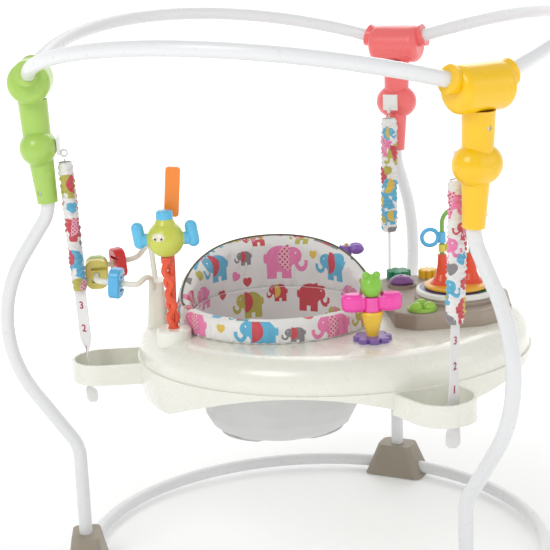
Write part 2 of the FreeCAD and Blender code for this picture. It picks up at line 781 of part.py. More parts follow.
def front_cone():
    """The front toy's fixed cone, with the spindle that its spinning parts run on."""
    x, y = FRONT_TOY
    return revolved(((0, 415), (8.9, 415), (8.9, 424), (10.5, 430), (17, 458), (15, 461), (3, 461), (3, 494), (0, 494)), x, y)


def propeller():
    """Two broad blades on a hub."""
    x, y = FRONT_TOY
    blades = [lozenge((x + side * 26, y, 475.5), 20, 14, 28, 8) for side in (-1, 1)]
    hub = disc(x, y, 461.5, 483.5, 12.5)
    blades = fused(blades + [hub]).cut(disc(x, y, 483.5, 500, 18.5))
    return blades.cut(disc(x, y, 440, 500, PIN_R + FIT_GAP))


def frog_top():
    """A rounded figure with two eye bumps."""
    x, y = FRONT_TOY
    body = egg((x, y, 500), 16.5, 19).common(disc(x, y, 484, 560, 40))
    eyes = [Part.makeSphere(6.0, V(x + side * 8, y - 2, 517)) for side in (-1, 1)]
    return fused([body] + eyes).cut(disc(x, y, 470, 495, PIN_R + FIT_GAP))


def back_post():
    """The back toy's fixed foot and spindle."""
    x, y = BACK_TOY
    return revolved(((0, 415), (8.9, 415), (9, 424), (13, 455), (10, 470), (3, 472), (3, 494), (0, 494)), x, y)


def back_petals():
    """The back toy's spinner: a hub with a petal lobe and a cup for the clear ball."""
    x, y = BACK_TOY
    hub = disc(x, y, 473, 490, 9.0)
    lobes = [egg((x + 17, y + dy, 484), 9, 13, (1, 0, 0)) for dy in (-7, 7)]
    cup = egg((x - 10, y, 482), 7.5, 9, (1, 0, 0))
    spinner = fused([hub, cup] + lobes).cut(clear_ball_volume())
    return spinner.cut(disc(x, y, 460, 495, PIN_R + FIT_GAP))


def clear_ball_volume():
    return Part.makeSphere(18.0, V(BACK_TOY[0] - 27, BACK_TOY[1], 494))


def clear_ball():
    return clear_ball_volume().cut(Part.makeSphere(16.4, V(BACK_TOY[0] - 27, BACK_TOY[1], 494)))


def bug_stem():
    """Two wavy strands that cross between the collar and the head."""
    x, y = BUG
    head_x, head_y, head_z = BUG_HEAD
    low, high = 431.6, head_z - 34.0
    strands = []
    for side in (-1, 1):
        points = []
        for i in range(7):
            share = i / 6
            sway = 0 if i in (0, 6) else side * (7 if i % 2 else -7)
            points.append((x + (head_x - x) * share + sway, y + side * 4.3, low + (high - low) * share))
        strands.append(swept(rounded_route(points, 11.0), 5.2))
    foot = disc(x, y, 396, low + 2, 8.9)
    top = disc(head_x, head_y, high - 4, high + 6, 9.0)
    pin = disc(head_x, head_y, high + 5, head_z - 12, PIN_R)
    return fused(strands + [foot, top, pin, paddle_arm()])


def bug_head():
    """Ball head on a short neck, with a cap and a fin on each side."""
    x, y, z = BUG_HEAD
    ball = Part.makeSphere(28.5, V(x, y, z))
    neck = taper((x, y, z + 18), 19, (x, y, z + 33), 12)
    cap = softened(disc(x, y, z + 31, z + 45, 13), 5.0, at_height(z + 45))
    parts = [ball, neck, cap]
    for side in (-1, 1):
        parts.append(rod((x + side * 20, y, z), (x + side * 37, y, z), 10))
        parts.append(pill((x + side * 41, y, z + 7), 9.5, 21, (-0.14, 0, 1)))
    head = fused(parts)
    low = z - 27.5
    return head.cut(disc(x, y, low - 10, low + 0.01, 20)).cut(disc(x, y, low - 1, z - 11, PIN_R + FIT_GAP))


def paddle():
    """A flat orange paddle that tips on a pin behind the bug's head."""
    x, y, z = paddle_pivot()
    wire = rounded_rectangle(x + 3, 0, 23, 78, 5, 0)
    blade = Part.Face(wire).extrude(V(0, 0, 6))
    blade.rotate(V(x + 3, 0, 0), V(1, 0, 0), 90)
    blade.translate(V(0, y + 3, z + 30))
    blade.rotate(V(x, y, z), V(0, 1, 0), 5)
    return blade.cut(rod((x, y - 10, z), (x, y + 10, z), PIN_R + FIT_GAP))


def paddle_pivot():
    return BUG_HEAD[0] + 8.0, BUG_HEAD[1] + 34.0, BUG_HEAD[2] + 37.0


def paddle_arm():
    """The bent arm behind the head that carries the paddle's pin."""
    x, y, z = paddle_pivot()
    foot_x, foot_y = BUG
    route = rounded_route(((foot_x, foot_y + 4.3, 429), (foot_x + 2, foot_y + 22, 460),
                           (x, y + 8, 510), (x, y + 8, z + 6)), 24.0)
    return fused([swept(route, 4.0), rod((x, y + 8, z), (x, y - 6, z), PIN_R)])


def bead_route():
    return rounded_route(BEAD_RAIL, 13.0)


def toy_bracket():
    """The moulded stand that both ends of the bead rail plug into."""
    x, y = BRACKET
    low = rounded_rectangle(x, y, 38, 66, 12, 396)
    middle = rounded_rectangle(x, y, 30, 52, 11, 440)
    high = rounded_rectangle(x, y, 24, 44, 9, 484)
    stand = Part.makeLoft([low, middle, high], True, False)
    return stand.cut(tray_volume(0.0)).cut(swept(bead_route(), RAIL_R))


def bead(centre, along):
    """A chunky link with a grooved face, threaded on the rail."""
    tall, wide, thick = BEAD_HALF
    wire = rounded_rectangle(0, 0, 2 * wide, 2 * tall, 13, -thick)
    link = Part.Face(wire).extrude(V(0, 0, 2 * thick))
    link = softened(link, 3.0, lambda edge: edge.BoundBox.ZLength < 0.01)
    groove = block((-20, 8, -thick - 1), (8, 13, -thick + 5))
    lower = block((-20, -13, -thick - 1), (8, -8, -thick + 5))
    link = link.cut(groove).cut(lower).cut(disc(0, 0, -20, 20, RAIL_R + 0.4))
    run = V(*along).normalize()
    flat = V(0, 0, 1).cross(run).normalize()
    up = run.cross(flat)
    link.Placement = FreeCAD.Placement(V(*centre), FreeCAD.Rotation(flat, up, run, "ZXY"))
    return link


# ---- writing ------------------------------------------------------------------------------
def frame_parts():
    parts = {}
    post = tube(post_route(), TUBE_R, TUBE_WALL)
    outer, inner = hub_halves()
    foot = foot_solid()
    for name, angle in POSTS.items():
        parts["post_" + name] = spun(post, angle)
        parts["hub_outer_" + name] = spun(outer, angle)
        parts["hub_inner_" + name] = spun(inner, angle)
        parts["foot_" + name] = spun(foot, angle)
    rail = tube(rail_route(RAIL_END_GAP), TUBE_R, TUBE_WALL)
    floor_tube = tube(floor_route(), TUBE_R, TUBE_WALL)
    for name, angle in RAILS.items():
        parts["top_rail_" + name] = spun(rail, angle)
        parts["floor_tube_" + name] = spun(floor_tube, angle)
    parts["foot_pads"] = around(pad_solid())
    screws = Part.makeCompound([hub_screw(spot, 0.0) for spot in HUB_SCREWS])
    parts["hub_screws"] = around(screws)
    parts["strap_clips"] = around(strap_clip())
    parts["strap_springs"] = around(strap_spring())
    parts["strap_sleeves"] = around(strap_sleeve())
    return parts


def around(shape):
    """Three copies, one at each post."""
    return Part.makeCompound([spun(shape, angle) for angle in POSTS.values()])


def tray_parts():
    parts = {"tray_top": tray_top(), "tray_base": tray_base(), "tray_screws": tray_screws()}
    parts["height_webbing"] = around(webbing())
    parts["strap_toggles"] = around(strap_toggle())
    parts["activity_panel"] = panel_solid()
    parts["flower_bases"] = Part.makeCompound([flower_base(*FRONT_TOY), flower_base(*BACK_TOY)])
    parts["front_toy_cone"] = front_cone()
    parts["back_toy_post"] = back_post()
    parts["bug_stem"] = bug_stem()
    parts["toy_bracket"] = toy_bracket()
    parts["bead_rail"] = swept(bead_route(), RAIL_R)
    return parts


def toy_parts():
    parts = {"bug_head": bug_head(), "paddle": paddle(), "propeller": propeller(), "frog_top": frog_top()}
    parts["back_petals"] = back_petals()
    parts["clear_ball"] = clear_ball()
    parts["key_knob"] = key_knob()
    parts["dome_button"] = dome_button()
    parts["petal_wheel"] = petals()
    parts["sun_wheel"] = sun()
    parts["turret_disc"] = turret_disc()
    parts["turret_plate"] = turret_plate()
    parts["turret_arch"] = turret_arch()
    parts["turret_hoop"] = hoop()
    parts["ring_charm"] = ring_charm()
    parts["leaf_charm"] = leaf_charm()
    for colour, (centre, along) in BEADS.items():
        parts["bead_" + colour] = bead(centre, along)
    return parts


def seat_parts():
    return {
        "seat_ring": seat_ring(),
        "seat_lock_ring": seat_lock_ring(),
        "seat_rim_pad": seat_rim_pad(),
        "seat_back_pad": seat_back_pad(),
        "seat_sling": seat_sling(),
    }


os.makedirs("parts", exist_ok=True)
nodes = {**frame_parts(), **tray_parts(), **seat_parts(), **toy_parts()}
for node, shape in nodes.items():
    shape.exportStep("parts/" + node + ".step")
    solids = len(shape.Solids)
    print(f"{node:20s} solids {solids} valid {shape.isValid()} volume {shape.Volume / 1000:.1f} cm3")
print(len(nodes), "nodes")
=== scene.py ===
import bpy
import math
import numpy as np
from mathutils import Matrix, Vector, noise


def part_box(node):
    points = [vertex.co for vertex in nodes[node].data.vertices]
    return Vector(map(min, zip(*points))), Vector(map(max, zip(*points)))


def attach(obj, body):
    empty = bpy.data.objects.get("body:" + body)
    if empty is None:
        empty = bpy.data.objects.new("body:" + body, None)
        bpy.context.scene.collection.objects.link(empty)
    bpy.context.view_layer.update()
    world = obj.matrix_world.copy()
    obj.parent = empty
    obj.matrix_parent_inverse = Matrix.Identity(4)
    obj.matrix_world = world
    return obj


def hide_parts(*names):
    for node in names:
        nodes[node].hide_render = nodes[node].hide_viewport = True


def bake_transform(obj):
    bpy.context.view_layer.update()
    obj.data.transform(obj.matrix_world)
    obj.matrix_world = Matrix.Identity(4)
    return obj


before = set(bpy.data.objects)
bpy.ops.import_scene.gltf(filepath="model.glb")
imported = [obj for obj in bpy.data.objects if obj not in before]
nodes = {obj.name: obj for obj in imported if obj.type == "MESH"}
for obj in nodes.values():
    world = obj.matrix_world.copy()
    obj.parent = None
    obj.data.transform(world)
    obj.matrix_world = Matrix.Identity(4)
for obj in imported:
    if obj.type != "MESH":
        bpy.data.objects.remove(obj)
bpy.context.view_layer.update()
scene = bpy.context.scene

# ---- places in the part's frame: metres, and degrees for the posts ----------------------------
POSTS = {"left": 180.0, "front": 300.0, "rear": 60.0}
SEAT = Vector((-0.048, 0.0, 0.0))
PAD_INNER, PAD_OUTER = 0.1385, 0.1635
RING_R = 0.1602     # where the cover's lip passes the seat ring
RING_DROP = 0.0068  # how far the lip hangs below the pad
RIM_LOW, RIM_HIGH = 0.4216, 0.455
BACK_TOP = 0.521
STRAP_TOP = (0.374, 0.700)  # radius and height of a strap's upper end
SLOT_R = 0.360
LUG_TOP = 0.363
BUG_BALL_R, BUG_BALL_Z = 0.0285, 0.573

# ---- print: kinds of motif, and how the cloth is rolled out flat --------------------------------
ELEPHANT, HEART, DOTTED = 1, 2, 3
COVER_R = 0.150        # radius the seat's cloth is rolled out at
SLEEVE_R = 0.0125      # radius a sleeve's cloth is rolled out at
INSIDE_SHIFT = -0.600  # keeps the inside's motifs apart from the outside's
FARTHEST = 0.78        # how far a motif reaches from its middle, in its own lengths


# ---- shader helpers -------------------------------------------------------------------------
def linear(r, g, b):
    """An 8-bit screen colour as linear light, with full alpha."""
    out = []
    for c in (r, g, b):
        c /= 255.0
        out.append(c / 12.92 if c <= 0.04045 else ((c + 0.055) / 1.055) ** 2.4)
    return (*out, 1.0)


class Shader:
    """One node material, built a node at a time."""

    def __init__(self, name):
        self.mat = bpy.data.materials.new(name)
        self.mat.use_nodes = True
        self.tree = self.mat.node_tree
        self.surface = self.tree.nodes["Principled BSDF"]
        self.where = self.add("ShaderNodeTexCoord").outputs["Object"]

    def add(self, kind, **settings):
        node = self.tree.nodes.new(kind)
        for key, value in settings.items():
            setattr(node, key, value)
        return node

    def put(self, socket, value):
        if isinstance(value, bpy.types.NodeSocket):
            self.tree.links.new(value, socket)
        else:
            socket.default_value = value

    def math(self, operation, *values):
        node = self.add("ShaderNodeMath", operation=operation)
        for socket, value in zip(node.inputs, values):
            self.put(socket, value)
        return node.outputs[0]

    def mix(self, share, a, b):
        node = self.add("ShaderNodeMix", data_type="RGBA")
        self.put(node.inputs["Factor"], share)
        self.put(node.inputs[6], a)
        self.put(node.inputs[7], b)
        return node.outputs[2]

    def square(self, value):
        return self.math("MULTIPLY", value, value)

    def length(self, x, y):
        return self.math("SQRT", self.math("ADD", self.square(x), self.square(y)))

    def noise(self, scale, detail=2.0, rough=0.5):
        node = self.add("ShaderNodeTexNoise")
        self.put(node.inputs["Vector"], self.where)
        node.inputs["Scale"].default_value = scale
        node.inputs["Detail"].default_value = detail
        node.inputs["Roughness"].default_value = rough
        return node.outputs["Fac"]

    def span(self, value, low, high, to_low, to_high):
        node = self.add("ShaderNodeMapRange")
        for socket, v in zip(node.inputs, (value, low, high, to_low, to_high)):
            self.put(socket, v)
        return node.outputs[0]

    def bump(self, height, distance):
        """Adds a bump of a depth in metres over any bump already there."""
        node = self.add("ShaderNodeBump")
        node.inputs["Distance"].default_value = distance
        self.put(node.inputs["Height"], height)
        normal = self.surface.inputs["Normal"]
        if normal.is_linked:
            self.put(node.inputs["Normal"], normal.links[0].from_socket)
        self.put(normal, node.outputs[0])

    def roughness(self, scale, detail, low, high):
        """Roughness that wanders between two values."""
        wander = self.span(self.noise(scale, detail), 0.3, 0.7, low, high)
        self.put(self.surface.inputs["Roughness"], wander)

    def axes(self, vector=None):
        node = self.add("ShaderNodeSeparateXYZ")
        self.put(node.inputs[0], vector or self.where)
        return node.outputs[0], node.outputs[1], node.outputs[2]

    def radius(self, x, y, centre):
        return self.length(self.math("SUBTRACT", x, centre[0]), self.math("SUBTRACT", y, centre[1]))


def shade(colour, k):
    """A lighter or darker shade of a colour."""
    return (*[min(1.0, c * k) for c in colour[:3]], 1.0)


def plastic(name, colour, rough=0.3, grain=0.0, coat=0.25, paint=None, drift=0.8, peel=0.00006):
    """Moulded plastic: tone drift, faintly worn edges, orange peel and, where asked, a grain."""
    s = Shader(name)
    base = paint(s) if paint else colour
    darker = s.add("ShaderNodeHueSaturation")
    darker.inputs["Value"].default_value = 0.86
    s.put(darker.inputs["Color"], base)
    base = s.mix(s.math("MULTIPLY", s.noise(9.0, 3.0), drift), base, darker.outputs["Color"])
    edge = s.add("ShaderNodeNewGeometry").outputs["Pointiness"]
    base = s.mix(s.span(edge, 0.55, 0.68, 0.0, 0.05), base, (0.95, 0.95, 0.93, 1.0))
    s.put(s.surface.inputs["Base Color"], base)
    s.roughness(38.0, 4.0, rough - 0.05, rough + 0.09)
    s.surface.inputs["Coat Weight"].default_value = coat
    s.surface.inputs["Coat Roughness"].default_value = 0.12
    s.bump(s.noise(170.0, 2.0), peel)
    if grain:
        s.bump(s.noise(1500.0, 3.0, 0.6), grain)
    return s.mat


def metal(name, colour, rough):
    """Bare metal with a drifting tone and a finely pitted skin."""
    s = Shader(name)
    s.surface.inputs["Metallic"].default_value = 1.0
    drift = s.mix(s.noise(60.0, 3.0), shade(colour, 0.85), shade(colour, 1.1))
    s.put(s.surface.inputs["Base Color"], drift)
    s.roughness(240.0, 3.0, rough - 0.06, rough + 0.1)
    s.bump(s.noise(900.0, 2.0), 0.00004)
    return s.mat


def coated(name, colour):
    """Powder coated steel tube with a fine pebbled skin."""
    s = Shader(name)
    tone = s.mix(s.noise(7.0, 3.0), shade(colour, 0.97), shade(colour, 1.02))
    s.put(s.surface.inputs["Base Color"], tone)
    s.roughness(90.0, 3.0, 0.26, 0.38)
    s.surface.inputs["Coat Weight"].default_value = 0.15
    s.bump(s.noise(620.0, 3.0), 0.00009)
    return s.mat


def weave(s, pitch=0.0009):
    """Plain weave: two crossed sets of threads, with slubs."""
    depth = 0.00012
    x, y, z = s.axes()
    turn = math.tau / pitch
    across = s.math("SINE", s.math("MULTIPLY", s.math("ADD", x, y), turn))
    slant = s.math("MULTIPLY", s.math("SUBTRACT", x, y), 0.3)
    along = s.math("SINE", s.math("MULTIPLY", s.math("SUBTRACT", z, slant), turn))
    s.bump(s.math("MAXIMUM", across, along), depth)
    s.bump(s.noise(1300.0, 3.0), depth * 1.4)
    s.surface.inputs["Sheen Weight"].default_value = 0.25
    s.surface.inputs["Sheen Roughness"].default_value = 0.5


def cloth(name, colour, rough=0.85, pitch=0.0009):
    """Plain woven cloth of one colour."""
    s = Shader(name)
    tone = s.mix(s.noise(26.0, 4.0), shade(colour, 0.93), shade(colour, 1.03))
    s.put(s.surface.inputs["Base Color"], tone)
    s.roughness(300.0, 2.0, rough - 0.08, rough + 0.05)
    weave(s, pitch)
    return s.mat


def ellipse(s, x, y, cx, cy, rx, ry):
    """Below 1 inside the ellipse."""
    dx = s.math("DIVIDE", s.math("SUBTRACT", x, cx), rx)
    dy = s.math("DIVIDE", s.math("SUBTRACT", y, cy), ry)
    return s.length(dx, dy)


def bar(s, x, y, cx, cy, hx, hy):
    """Below 1 inside the upright bar."""
    dx = s.math("DIVIDE", s.math("ABSOLUTE", s.math("SUBTRACT", x, cx)), hx)
    dy = s.math("DIVIDE", s.math("ABSOLUTE", s.math("SUBTRACT", y, cy)), hy)
    return s.math("MAXIMUM", dx, dy)


def union(s, shapes):
    """Below 1 inside any of the shapes."""
    whole = shapes[0]
    for shape in shapes[1:]:
        whole = s.math("MINIMUM", whole, shape)
    return whole


def inside(s, shape):
    """1 inside a shape and 0 outside, with a soft edge."""
    return s.span(shape, 0.985, 1.015, 1.0, 0.0)


def elephant(s, x, y):
    """Below 1 inside an elephant seen from its side, one unit long, without its ear."""
    trunk = s.math("ABSOLUTE", s.math("SUBTRACT", ellipse(s, x, y, 0.42, -0.03, 0.12, 0.15), 1.0))
    upper = s.math("MULTIPLY", s.math("GREATER_THAN", y, 0.02), 9.0)
    trunk = s.math("ADD", s.math("DIVIDE", trunk, 0.36), upper)
    back = ellipse(s, x, y, -0.09, 0.04, 0.34, 0.29)
    legs = [bar(s, x, y, cx, -0.21, 0.115, 0.18) for cx in (-0.29, 0.06)]
    head = ellipse(s, x, y, 0.23, 0.11, 0.20, 0.19)
    tail = ellipse(s, x, y, -0.44, 0.06, 0.035, 0.11)
    return union(s, [back, head, trunk, tail] + legs)


def dot_rows(s, along):
    """One of the two crossed waves whose peaks meet in dots."""
    return s.math("SINE", s.math("MULTIPLY", along, 54.0))


def heart_on(s, x, y):
    """1 inside a heart: where (x^2 + y^2 - 1)^3 is below x^2 y^3."""
    hx = s.math("DIVIDE", x, 0.42)
    hy = s.math("DIVIDE", s.math("ADD", y, 0.03), 0.42)
    square = s.square(hx)
    bowl = s.math("SUBTRACT", s.math("ADD", square, s.square(hy)), 1.0)
    cube = s.math("MULTIPLY", bowl, s.square(bowl))
    lobes = s.math("MULTIPLY", square, s.math("MULTIPLY", hy, s.square(hy)))
    return s.math("LESS_THAN", s.math("SUBTRACT", cube, lobes), 0.0)


def printed(name):
    """White cotton printed with plain elephants and hearts, placed by a mesh's attributes."""
    s = Shader(name)
    spot = s.add("ShaderNodeAttribute", attribute_name="motif").outputs["Vector"]
    body = s.add("ShaderNodeAttribute", attribute_name="motif_body").outputs["Color"]
    ear = s.add("ShaderNodeAttribute", attribute_name="motif_ear").outputs["Color"]
    x, y, kind = s.axes(spot)
    figure_on = inside(s, elephant(s, x, y))
    front = s.math("ADD", 1.0, s.math("MULTIPLY", s.math("SUBTRACT", x, 0.14), 8.0))
    ear_on = inside(s, s.math("MAXIMUM", ellipse(s, x, y, 0.14, 0.06, 0.27, 0.29), front))
    dots = s.math("GREATER_THAN", s.math("MULTIPLY", dot_rows(s, x), dot_rows(s, y)), 0.30)
    dotted = s.math("MULTIPLY", dots, s.math("GREATER_THAN", kind, HEART + 0.5))
    eye = inside(s, ellipse(s, x, y, 0.29, 0.17, 0.022, 0.022))
    heart = heart_on(s, x, y)
    above = s.math("GREATER_THAN", kind, ELEPHANT + 0.5)
    is_heart = s.math("MULTIPLY", above, s.math("LESS_THAN", kind, HEART + 0.5))
    has_motif = s.math("GREATER_THAN", kind, ELEPHANT - 0.5)
    is_beast = s.math("MULTIPLY", has_motif, s.math("SUBTRACT", 1.0, is_heart))
    ground = s.mix(s.noise(24.0, 3.0), (0.80, 0.79, 0.77, 1.0), (0.90, 0.89, 0.87, 1.0))
    dots_on = s.math("MULTIPLY", ear_on, dotted)
    ink = s.mix(s.math("MULTIPLY", figure_on, is_beast), ground, body)
    ink = s.mix(s.math("MULTIPLY", ear_on, is_beast), ink, ear)
    ink = s.mix(s.math("MULTIPLY", dots_on, is_beast), ink, linear(176, 28, 62))
    ink = s.mix(s.math("MULTIPLY", eye, is_beast), ink, (0.9, 0.9, 0.9, 1.0))
    ink = s.mix(s.math("MULTIPLY", heart, is_heart), ink, body)
    fade = s.math("MULTIPLY", s.noise(420.0, 4.0), 0.14)
    s.put(s.surface.inputs["Base Color"], s.mix(fade, ink, (0.85, 0.84, 0.82, 1.0)))
    s.roughness(300.0, 2.0, 0.74, 0.88)
    weave(s)
    return s.mat


# ---- colours --------------------------------------------------------------------------------
CREAM = linear(233, 233, 222)
WHITE = linear(236, 236, 232)
BLUE = linear(96, 193, 236)
INK = {
    "pink": linear(238, 120, 176), "red": linear(206, 40, 60), "blue": linear(74, 176, 214),
    "olive": linear(186, 178, 58), "grey": linear(130, 125, 130), "yellow": linear(226, 190, 60),
    "teal": linear(70, 160, 170), "rose": linear(248, 176, 200),
}


def bug_paint(s):
    """Lime head, with a blue cap and blue fins."""
    cap_height = 0.0135
    x, _, z = s.axes()
    low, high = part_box("bug_head")
    middle = (low.x + high.x) / 2
    side = s.math("ABSOLUTE", s.math("SUBTRACT", x, middle))
    fin = s.math("GREATER_THAN", side, BUG_BALL_R)
    cap = s.math("GREATER_THAN", z, high.z - cap_height)
    return s.mix(s.math("MAXIMUM", fin, cap), linear(206, 212, 84), BLUE)


def disc_paint(s):
    """Slate disc with a white border and one green side."""
    border_r, slant = 0.0600, 0.4
    x, y, _ = s.axes()
    low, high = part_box("turret_disc")
    centre = ((low.x + high.x) / 2, (low.y + high.y) / 2)
    r = s.radius(x, y, centre)
    split = centre[0] + centre[1] * slant + 0.01
    green = s.math("GREATER_THAN", s.math("ADD", x, s.math("MULTIPLY", y, slant)), split)
    inner = s.mix(green, linear(88, 84, 130), linear(20, 120, 84))
    return s.mix(s.math("GREATER_THAN", r, border_r), inner, linear(236, 236, 230))


def flower_paint(s):
    """Purple petals, darker towards their foot."""
    _, _, z = s.axes()
    return s.mix(s.span(z, 0.414, 0.43, 0.35, 0.0), linear(140, 108, 186), linear(86, 60, 128))


FINISHES = {
    "tube": coated("white_tube", linear(228, 229, 230)),
    "green": plastic("hub_green", linear(172, 210, 96), 0.3),
    "yellow": plastic("hub_yellow", linear(250, 200, 6), 0.3),
    "pink": plastic("hub_pink", linear(246, 112, 112), 0.3),
    "taupe": plastic("taupe", linear(160, 150, 134), 0.5, 0.00012, 0.0),
    "panel": plastic("panel_taupe", linear(166, 152, 138), 0.42, 0.00008, 0.1),
    "rubber": plastic("rubber", linear(60, 60, 60), 0.75, 0.0001, 0.0),
    "steel": metal("zinc_steel", (0.62, 0.62, 0.63, 1.0), 0.32),
    "cream": plastic("cream", CREAM, 0.27, 0.0, 0.4, drift=0.2, peel=0.000015),
    "ivory": plastic("ivory", linear(236, 234, 220), 0.34),
    "white": plastic("white", WHITE, 0.36),
    "purple": plastic("purple", linear(140, 108, 186), 0.3, paint=flower_paint),
    "petal": plastic("petal_purple", linear(140, 100, 190), 0.3),
    "cone": plastic("cone_yellow", linear(248, 206, 66), 0.3),
    "stem": plastic("stem_orange", linear(236, 84, 44), 0.3),
    "bug": plastic("bug_lime", linear(206, 212, 84), 0.28, paint=bug_paint),
    "orange": plastic("paddle_orange", linear(255, 138, 0), 0.3),
    "magenta": plastic("magenta", linear(250, 72, 178), 0.3),
    "frog": plastic("frog_green", linear(140, 206, 70), 0.3),
    "lime": plastic("lime", linear(150, 200, 66), 0.3),
    "dome": plastic("dome_purple", linear(124, 74, 136), 0.26),
    "green_dark": plastic("dark_green", linear(18, 140, 92), 0.3),
    "sun": plastic("sun_yellow", linear(244, 190, 40), 0.3),
    "disc": plastic("slate", linear(88, 84, 130), 0.3, paint=disc_paint),
    "plate": plastic("plate_yellow", linear(238, 178, 48), 0.3),
    "arch": plastic("arch_orange", linear(232, 76, 36), 0.3),
    "hoop": plastic("hoop_green", linear(122, 176, 78), 0.28),
    "blue": plastic("blue", linear(84, 180, 232), 0.28),
    "leaf": plastic("leaf_yellow", linear(222, 210, 70), 0.3),
    "bead_red": plastic("bead_red", linear(218, 34, 36), 0.28),
    "bead_yellow": plastic("bead_yellow", linear(222, 206, 96), 0.28),
    "bead_green": plastic("bead_green", linear(164, 190, 70), 0.28),
}
WEARS = {
    "tube": ["post_left", "post_front", "post_rear",
             "top_rail_front", "top_rail_right", "top_rail_back",
             "floor_tube_front", "floor_tube_right", "floor_tube_back"],
    "green": ["hub_outer_left", "hub_inner_left"],
    "yellow": ["hub_outer_front", "hub_inner_front"],
    "pink": ["hub_outer_rear", "hub_inner_rear"],
    "taupe": ["foot_left", "foot_front", "foot_rear"],
    "panel": ["activity_panel"],
    "rubber": ["foot_pads"],
    "steel": ["hub_screws", "tray_screws", "strap_springs"],
    "cream": ["tray_top", "tray_base"],
    "ivory": ["toy_bracket", "bead_rail"],
    "white": ["strap_clips", "strap_toggles", "seat_ring", "seat_lock_ring"],
    "purple": ["flower_bases"],
    "petal": ["back_petals"],
    "cone": ["front_toy_cone", "back_toy_post"],
    "stem": ["bug_stem"],
    "bug": ["bug_head"],
    "orange": ["paddle"],
    "magenta": ["propeller"],
    "frog": ["frog_top"],
    "lime": ["key_knob"],
    "dome": ["dome_button"],
    "green_dark": ["petal_wheel"],
    "sun": ["sun_wheel"],
    "disc": ["turret_disc"],
    "plate": ["turret_plate"],
    "arch": ["turret_arch"],
    "hoop": ["turret_hoop"],
    "blue": ["ring_charm", "bead_blue"],
    "leaf": ["leaf_charm"],
    "bead_red": ["bead_red"],
    "bead_yellow": ["bead_yellow"],
    "bead_green": ["bead_green"],
}


def clear_plastic():
    """Clear plastic, slightly clouded."""
    s = Shader("clear_plastic")
    s.surface.inputs["Base Color"].default_value = (0.97, 0.98, 1.0, 1.0)
    s.surface.inputs["Transmission Weight"].default_value = 1.0
    s.surface.inputs["IOR"].default_value = 1.2
    s.roughness(80.0, 3.0, 0.02, 0.1)
    s.bump(s.noise(120.0, 2.0), 0.0001)
    return s.mat


def dress(piece, finish):
    """Gives a piece one finish all over."""
    piece.data.materials.clear()
    piece.data.materials.append(finish)
    for p in piece.data.polygons:
        p.material_index = 0


for finish, wearers in WEARS.items():
    for wearer in wearers:
        dress(nodes[wearer], FINISHES[finish])
dress(nodes["clear_ball"], clear_plastic())
PRINT = printed("printed_cotton")
LINING = cloth("sling_cloth", linear(226, 226, 226))
PIPING = cloth("piping", linear(92, 92, 58), 0.8, 0.0006)
BINDING = cloth("binding", linear(206, 206, 204), 0.8, 0.0006)
MARK_INK = cloth("mark_ink", linear(176, 30, 70))
WEB = cloth("web", linear(234, 233, 232), 0.8, 0.0014)


# ---- mesh helpers ---------------------------------------------------------------------------
def grid_mesh(name, rows, close_rows, close_columns):
    """A surface through rows of points; each way may close on itself."""
    count, width = len(rows), len(rows[0])
    points = [tuple(p) for row in rows for p in row]
    faces = []
    for i in range(count if close_rows else count - 1):
        this, following = i * width, (i + 1) % count * width
        for j in range(width if close_columns else width - 1):
            beside = (j + 1) % width
            faces.append((this + j, this + beside, following + beside, following + j))
    me = bpy.data.meshes.new(name)
    me.from_pydata(points, [], faces)
    me.update()
    ob = bpy.data.objects.new(name, me)
    scene.collection.objects.link(ob)
    for p in me.polygons:
        p.use_smooth = True
    return ob


def sweep(name, line, radius, sides=10, closed=False):
    """A round tube along a line of points."""
    rows = []
    count = len(line)
    side = Vector((0, 0, 1))
    for i, point in enumerate(line):
        before = line[(i - 1) % count] if closed or i else line[0]
        after = line[(i + 1) % count] if closed or i < count - 1 else line[-1]
        run = (after - before).normalized()
        u = run.cross(side)
        if u.length < 1e-4:
            u = run.orthogonal()
        u.normalize()
        v = run.cross(u)
        rows.append([point + (u * math.cos(a) + v * math.sin(a)) * radius
                     for a in [math.tau * k / sides for k in range(sides)]])
    ob = grid_mesh(name, rows, closed, True)
    if not closed:
        cap_ends(ob, sides)
    return ob


def cap_ends(ob, sides):
    """Closes both ends of a tube of rings."""
    me = ob.data
    total = len(me.vertices)
    points = [tuple(v.co) for v in me.vertices]
    faces = [tuple(p.vertices) for p in me.polygons]
    faces.append(tuple(range(sides))[::-1])
    faces.append(tuple(range(total - sides, total)))
    new = bpy.data.meshes.new(me.name)
    new.from_pydata(points, [], faces)
    new.update()
    for p in new.polygons:
        p.use_smooth = len(p.vertices) == 4
    ob.data = new


